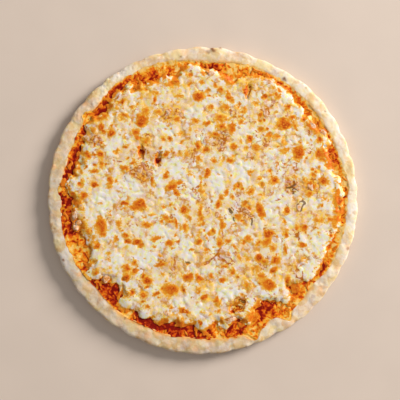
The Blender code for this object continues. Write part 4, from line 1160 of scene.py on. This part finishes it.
def paint_cheese(cheese, points, lumps, inset, melted):
    """Where the cheese is white or yellow, split by seams, stained by sauce, grainy or browned, with
    painted shade.
    """
    owner, gap = nearest_lumps(points, lumps)
    yellow = np.array([lump.yellow for lump in lumps])[owner]
    tan = np.array([lump.tan for lump in lumps])[owner]
    rise = (points[:, 2] - CHEESE_BOTTOM) / MM
    angle = polar(points)[1]
    edge = smooth(1.0 - inset / (9 * MM))
    clump = near_places(points, EDGE_CLUMPS)
    golden, pale, darker_grey, crumbly = (near_places(points, table)
                                   for table in (GOLDEN, PALE, DARKER_GREY_PLACES, CRUMBLY))
    tint = (0.34 + 0.8 * (yellow - 0.5)
            + 0.32 * field(points, 12 * MM, 41) + 0.26 * field(points, 5 * MM, 46)
            + 0.2 * golden - 0.5 * pale + 0.65 * crumbly)
    wide = smooth(0.5 + 0.8 * field(points, 9 * MM, 42) + 0.6 * field(points, 3.5 * MM, 43) + 0.4 * edge
                  - 0.5 * pale)
    seam = smooth(1.2 - gap / LINE_WIDTH) * wide
    thin = smooth((1.75 - rise) / 0.7)
    pink = smooth(0.05 + 0.9 * field(points, 8 * MM, 49) + 0.8 * field(points, 3.2 * MM, 50)
                  + 0.6 * darker_grey - 0.8 * pale)
    lines = smooth(1.1 - gap / ((0.6 + 0.35 * crumbly) * MM)) * smooth(
        0.9 * field(points, 12 * MM, 51) + 0.7 * field(points, 4 * MM, 52) + 0.6 * edge + 0.4 * darker_grey
        + 1.0 * crumbly - 0.8 * pale)
    paint(cheese, "tint", soften(cheese, tint * (1.0 - 0.6 * clump) + 0.3 * thin, 2))
    paint(cheese, "pink", soften(cheese, pink * (1.0 - 0.4 * clump), 1))
    paint(cheese, "seam", soften(cheese, seam * (1.0 - 0.5 * clump), 1) + 0.4 * thin * wide)
    paint(cheese, "golden", np.maximum(golden, 0.95 * crumbly * (1.0 - 0.8 * darker_grey)))
    paint(cheese, "darker_grey", darker_grey)
    upward = read_normals(cheese)[:, 2]
    steep_hole = 0.9 * smooth((0.99 - upward) / 0.22) * smooth(2.0 - opening_inset(points) / (2 * MM))
    paint(cheese, "stained", np.maximum(np.maximum(line_share(points, CRACKS), lines), steep_hole))
    paint(cheese, "charred", line_share(points, CHARRED))
    paint(cheese, "grainy", soften(cheese, np.minimum(tan, 1.0), 1))
    # The bits on the open sauce are golden all over, and the cheese's edge is marbled with sauce.
    bits = 0.25 * np.maximum(tan - 1.0, 0.0) + 0.2 * (tan > 1.0)
    wet = arc_share(angle, STAINED_EDGE)
    run = (6.0 + 11.0 * wet - 3.0 * arc_share(angle, CLEAN_EDGE)) * MM
    rust = smooth(0.35 + 0.4 * wet + 1.1 * field(points, 4.5 * MM, 53) + 0.8 * field(points, 2.1 * MM, 54))
    rust = 0.66 * rust * smooth(1.25 - inset / run)
    browned = np.maximum(browned_share(points), rust) * (1.0 - 0.6 * clump) * (1.0 - 0.25 * pale)
    # Low sides of the edge and of the openings are soaked with sauce, and on the lower left, away from the
    # lamp, the edge's low and steep sides are painted darker still as painted shade.
    left = lower_left(angle)
    soaked_and_shaded = 0.62 * smooth((0.8 + 0.2 * left - melted) / 0.7)
    # Painted shade: steep sides near the edge are darkened, far more on the lower left, away from the lamp.
    steep_edge = smooth((0.8 + 0.18 * left - upward) / 0.32)
    steep_edge = steep_edge * smooth(1.2 - inset / (8 * MM)) * (0.22 + 0.42 * left)
    soaked_and_shaded = np.maximum(np.maximum(soaked_and_shaded, steep_edge), steep_hole) * (1.0 - 0.5 * clump)
    paint(cheese, "browned", np.maximum(np.maximum(browned, bits), soaked_and_shaded))


def browned_share(points):
    """Listed browned blisters, and many small browned spots between them."""
    rng = random.Random(CHEESE_SEED + 2)
    spots = list(BROWNED)
    for _ in range(SMALL_SPOTS):
        turn, out = rng.uniform(0, 360), math.sqrt(rng.random()) * 0.98
        reach = out * float(cheese_radius(turn)) / MM
        length = rng.choice((1.2, 1.5, 1.8, 2.2))
        spots.append((*from_polar(reach, turn), length, length * rng.uniform(0.5, 0.9),
                      rng.uniform(0, 180), rng.uniform(0.3, 0.85)))
    # The spots' outlines are uneven.
    x, y = (points[:, axis] + 1.2 * MM * field(points, 4.6 * MM, 44 + axis)
            + 0.7 * MM * field(points, 2.0 * MM, 55 + axis) for axis in (0, 1))
    patchy = 1.0 + 0.4 * field(points, 2.6 * MM, 57)
    browned = np.zeros(len(points))
    for middle_x, middle_y, half_length, half_width, turn, strength in spots:
        dx, dy = x - middle_x * MM, y - middle_y * MM
        near = np.maximum(np.abs(dx), np.abs(dy)) < 2.4 * half_length * MM
        along, over = turned(dx[near], dy[near], turn)
        away = np.hypot(along / (half_length * MM), over / (half_width * MM))
        # The golden ring round a spot lies a little to one side.
        slide = 0.35 * half_width * MM
        lean = rng.uniform(0, 2 * math.pi)
        side = np.hypot((along - slide * math.cos(lean)) / (half_length * MM),
                        (over - slide * math.sin(lean)) / (half_width * MM))
        core = strength ** 0.8 * np.clip(1.25 - 0.85 * away, 0.0, 1.05) * smooth(2.2 - 1.3 * away)
        core = core * patchy[near]
        gold = 0.42 * (0.4 + 0.6 * strength) * smooth(1.9 - 1.15 * side)
        browned[near] = np.maximum(browned[near], np.maximum(core, gold))
    return browned


def cheese_finish():
    """Melted cheese: cream white and pale yellow, orange oil between shreds, browned blisters."""
    look = Finish("melted_cheese", 0.42, Subsurface_Weight=0.15, Subsurface_Scale=0.0015,
                  Subsurface_Radius=(1.0, 0.65, 0.4), Specular_IOR_Level=0.12)
    mottle = look.math("SUBTRACT", look.noise(2.2 * MM, 3.0, 0.4), 0.5)
    grain = look.math("SUBTRACT", look.noise(1.2 * MM, 2.0), 0.5)

    def mottled(name, coarse, fine):
        """A painted value, broken up by the two mottles."""
        value = look.math("ADD", look.attribute(name), look.math("MULTIPLY", mottle, coarse))
        return look.math("ADD", value, look.math("MULTIPLY", grain, fine))

    colour = look.ramp(mottled("tint", 0.7, 0.5),
                       ((0.0, (0.71, 0.685, 0.585)), (0.16, (0.725, 0.67, 0.54)),
                        (0.36, (0.745, 0.63, 0.44)), (0.53, (0.755, 0.58, 0.34)),
                        (0.66, (0.755, 0.52, 0.22)), (0.84, (0.76, 0.47, 0.12)),
                        (1.0, (0.74, 0.39, 0.06))))
    yellowish = look.range(look.noise(4.0 * MM, 2.0), 0.50, 0.64, 0.0, 0.2)
    colour = look.mix(yellowish, colour, (0.78, 0.63, 0.22))
    gold = look.math("MULTIPLY", look.range(mottled("golden", 1.4, 0.8), 0.35, 1.0), 0.75)
    colour = look.mix(gold, colour, (0.80, 0.50, 0.09))
    rosy = look.range(look.noise(4.0 * MM, 2.0, 0.3), 0.52, 0.68, 0.0, 0.5)
    colour = look.mix(rosy, colour, (0.70, 0.50, 0.405))
    for name, coarse, fine, low, high, most, shade in CHEESE_COLOURS:
        colour = look.mix(look.range(mottled(name, coarse, fine), low, high, 0.0, most), colour, shade)
    # Places of one lightness still differ: some are yellow with oil, others milky and pinkish.
    hue = look.noise(3.4 * MM, 2.0, 0.4)
    colour = look.mix(look.range(hue, 0.50, 0.34, 0.0, 0.28), colour, (0.72, 0.575, 0.54))
    brown = mottled("browned", 0.68, 0.4)
    spot = look.ramp(brown, ((0.08, (0.77, 0.52, 0.135)), (0.28, (0.73, 0.38, 0.042)),
                             (0.48, (0.66, 0.235, 0.015)), (0.68, (0.60, 0.135, 0.005)),
                             (0.88, (0.54, 0.085, 0.003)), (1.0, (0.45, 0.06, 0.003))))
    colour = look.mix(look.range(brown, 0.08, 0.36), colour, spot)
    # The darkest spots are uneven: nearly burnt in some places and still orange in others.
    baked, uneven = look.range(brown, 0.62, 0.9), look.noise(1.9 * MM, 2.0, 1.2)
    for low, high, shade in ((0.50, 0.66, (0.36, 0.04, 0.002)), (0.47, 0.33, (0.70, 0.27, 0.022))):
        colour = look.mix(look.math("MULTIPLY", baked, look.range(uneven, low, high)), colour, shade)
    for high, shade in ((0.68, (1.01, 1.01, 0.46)), (0.34, (0.985, 0.985, 1.2))):
        colour = look.mix(look.range(hue, 0.50, high), colour, shade, "MULTIPLY")
    # Darker, greyer places.
    colour = look.mix(look.attribute("darker_grey"), colour, (0.92, 0.91, 0.96), "MULTIPLY")
    charred = look.range(mottled("charred", 0.6, 0.4), 0.3, 0.7, 0.0, 0.85)
    colour = look.mix(charred, colour, (0.13, 0.065, 0.015))
    look.bump(((look.noise(1.3 * MM, 3.0), 0.07 * MM), (look.noise(0.45 * MM, 2.0), 0.025 * MM)))
    return look.colour(colour)


# ---------------------------------------------------------------- turkey
TURKEY_SEED = 17
CHUNKS = 4                       # different torn shapes
CHUNK_SHARE = 0.46               # half size of a piece, as a share of its length or width


def turkey_shapes():
    """Torn chunks of meat, modelled once each along X with half sizes of 1."""
    shapes = []
    for index in range(CHUNKS):
        bpy.ops.mesh.primitive_ico_sphere_add(subdivisions=2, radius=1.0)
        chunk = take_new(f"chunk_{index}")
        edit_all()
        bpy.ops.transform.vertex_random(offset=0.34, uniform=0.6, normal=0.7, seed=index + 3)
        bpy.ops.object.mode_set(mode="OBJECT")
        apply_modifier(chunk, "SUBSURF", levels=2, render_levels=2)
        points = read_points(chunk)
        points -= (points.max(0) + points.min(0)) / 2.0
        points /= np.abs(points).max(0)
        # Long shallow grooves between the fibres of the meat.
        groove = 0.04 * np.sin(points[:, 1] * 8.0 + 2.0 * np.sin(points[:, 0] * 2.0 + index))
        points[:, 2] = np.minimum(points[:, 2], 0.75 + 0.25 * points[:, 2]) + groove * (points[:, 2] > 0.2)
        shapes.append((points, [tuple(face.vertices) for face in chunk.data.polygons]))
        bpy.data.objects.remove(chunk)
    return shapes


def make_turkey():
    """Small torn pieces of turkey, sunk in the cheese with only their tops in sight."""
    rng = random.Random(TURKEY_SEED)
    lumps = []
    for x, y, length, width, turn in TURKEY:
        size = (length * CHUNK_SHARE * MM, width * CHUNK_SHARE * MM, 1.15 * MM)
        spot = np.array([[x * MM, y * MM, 0.0]])
        thin = float(thinned(edge_inset(spot), polar(spot)[1])[0])
        place = (x * MM, y * MM, CHEESE_BOTTOM + (0.2 + 1.3 * thin) * MM)
        lumps.append(Lump(rng.randrange(CHUNKS), place, size, math.radians(turn),
                          rng.uniform(-0.08, 0.08), rng.uniform(-0.7, 0.7), 0.0, 0.0))
    return scatter("turkey_pieces", turkey_shapes(), lumps)


def turkey_finish():
    """Pale pink-beige smoked meat with tan edges and a little oil."""
    look = Finish("smoked_turkey", 0.48, Subsurface_Weight=0.2, Subsurface_Scale=0.002,
                  Subsurface_Radius=(1.0, 0.5, 0.35))
    fibre = look.noise(1.6 * MM, 3.0, 0.6)
    colour = look.mix(look.range(fibre, 0.35, 0.65), (0.71, 0.53, 0.40), (0.62, 0.37, 0.21))
    colour = look.mix(look.range(look.noise(3.4 * MM, 3.0), 0.44, 0.62), colour, (0.60, 0.25, 0.05))
    colour = look.mix(look.range(look.noise(1.5 * MM, 2.0, 0.8), 0.55, 0.66), colour, (0.50, 0.15, 0.02))
    look.bump(((fibre, 0.3 * MM),))
    return look.colour(colour)


# ---------------------------------------------------------------- floor, light and camera
FRAME_PIXELS = 400
PIXEL = 0.9877 * MM              # size of one pixel of the photograph on the pizza
PIZZA_CENTRE_PIXEL = (202.5, 200.7)
SCALE_HEIGHT = 8.0 * MM          # height over the table at which a pixel has that size
FLOOR_COLOUR = (0.600, 0.492, 0.413)
FLOOR_GAP = 0.2 * MM
LAMP_SIDE = 32                   # in degrees, like the next one
LAMP_ELEVATION = 24.5
LAMP_DISTANCE = 4.0
LIGHT_COLOUR = (1.0, 0.985, 0.96)


def make_floor():
    """A plain pale table, which isn't part of the pizza."""
    bpy.ops.mesh.primitive_plane_add(size=6.0, location=(0, 0, -FLOOR_GAP))
    floor = take_new("table")
    look = Finish("table", 0.6)
    grain = look.range(look.noise(60 * MM, 2.0), 0.3, 0.7)
    darker = tuple(0.97 * value for value in FLOOR_COLOUR)
    floor.data.materials.append(look.colour(look.mix(grain, FLOOR_COLOUR, darker)))
    floor.select_set(False)


def make_light():
    """One large soft lamp from the upper right, and a pale even surround."""
    key = bpy.data.lights.new("key", "AREA")
    key.shape = "DISK"
    key.size = 1.7
    key.energy = 282.0
    key.color = LIGHT_COLOUR
    lamp = bpy.data.objects.new("key", key)
    flat, up = from_polar(1.0, LAMP_ELEVATION)
    place = Vector((*from_polar(flat, LAMP_SIDE), up))
    lamp.location = place * LAMP_DISTANCE
    lamp.rotation_euler = place.to_track_quat("Z", "Y").to_euler()
    bpy.context.scene.collection.objects.link(lamp)
    world = bpy.data.worlds.new("surround")
    world.use_nodes = True
    shade = world.node_tree.nodes["Background"]
    shade.inputs["Color"].default_value = (*LIGHT_COLOUR, 1.0)
    shade.inputs["Strength"].default_value = 0.42
    bpy.context.scene.world = world


def make_camera():
    """Looks straight down, so that the pizza lies in the picture as in the photograph."""
    camera = bpy.data.cameras.new("camera")
    camera.lens = 85.0
    width = FRAME_PIXELS * PIXEL
    distance = width * camera.lens / camera.sensor_width
    view = bpy.data.objects.new("camera", camera)
    middle = FRAME_PIXELS / 2
    view.location = ((middle - PIZZA_CENTRE_PIXEL[0]) * PIXEL, (PIZZA_CENTRE_PIXEL[1] - middle) * PIXEL,
                     distance + SCALE_HEIGHT)
    bpy.context.scene.collection.objects.link(view)
    bpy.context.scene.camera = view


start_clean()
bpy.context.scene.view_settings.view_transform = "Standard"
make_camera()
make_light()
make_floor()
dough = make_dough()
paint_dough(dough)
settle(dough, "crust", dough_finish())
settle(make_sauce(), "tomato_sauce", sauce_finish())
settle(make_cheese(), "melted_cheese", cheese_finish())
settle(make_turkey(), "melted_cheese", turkey_finish())
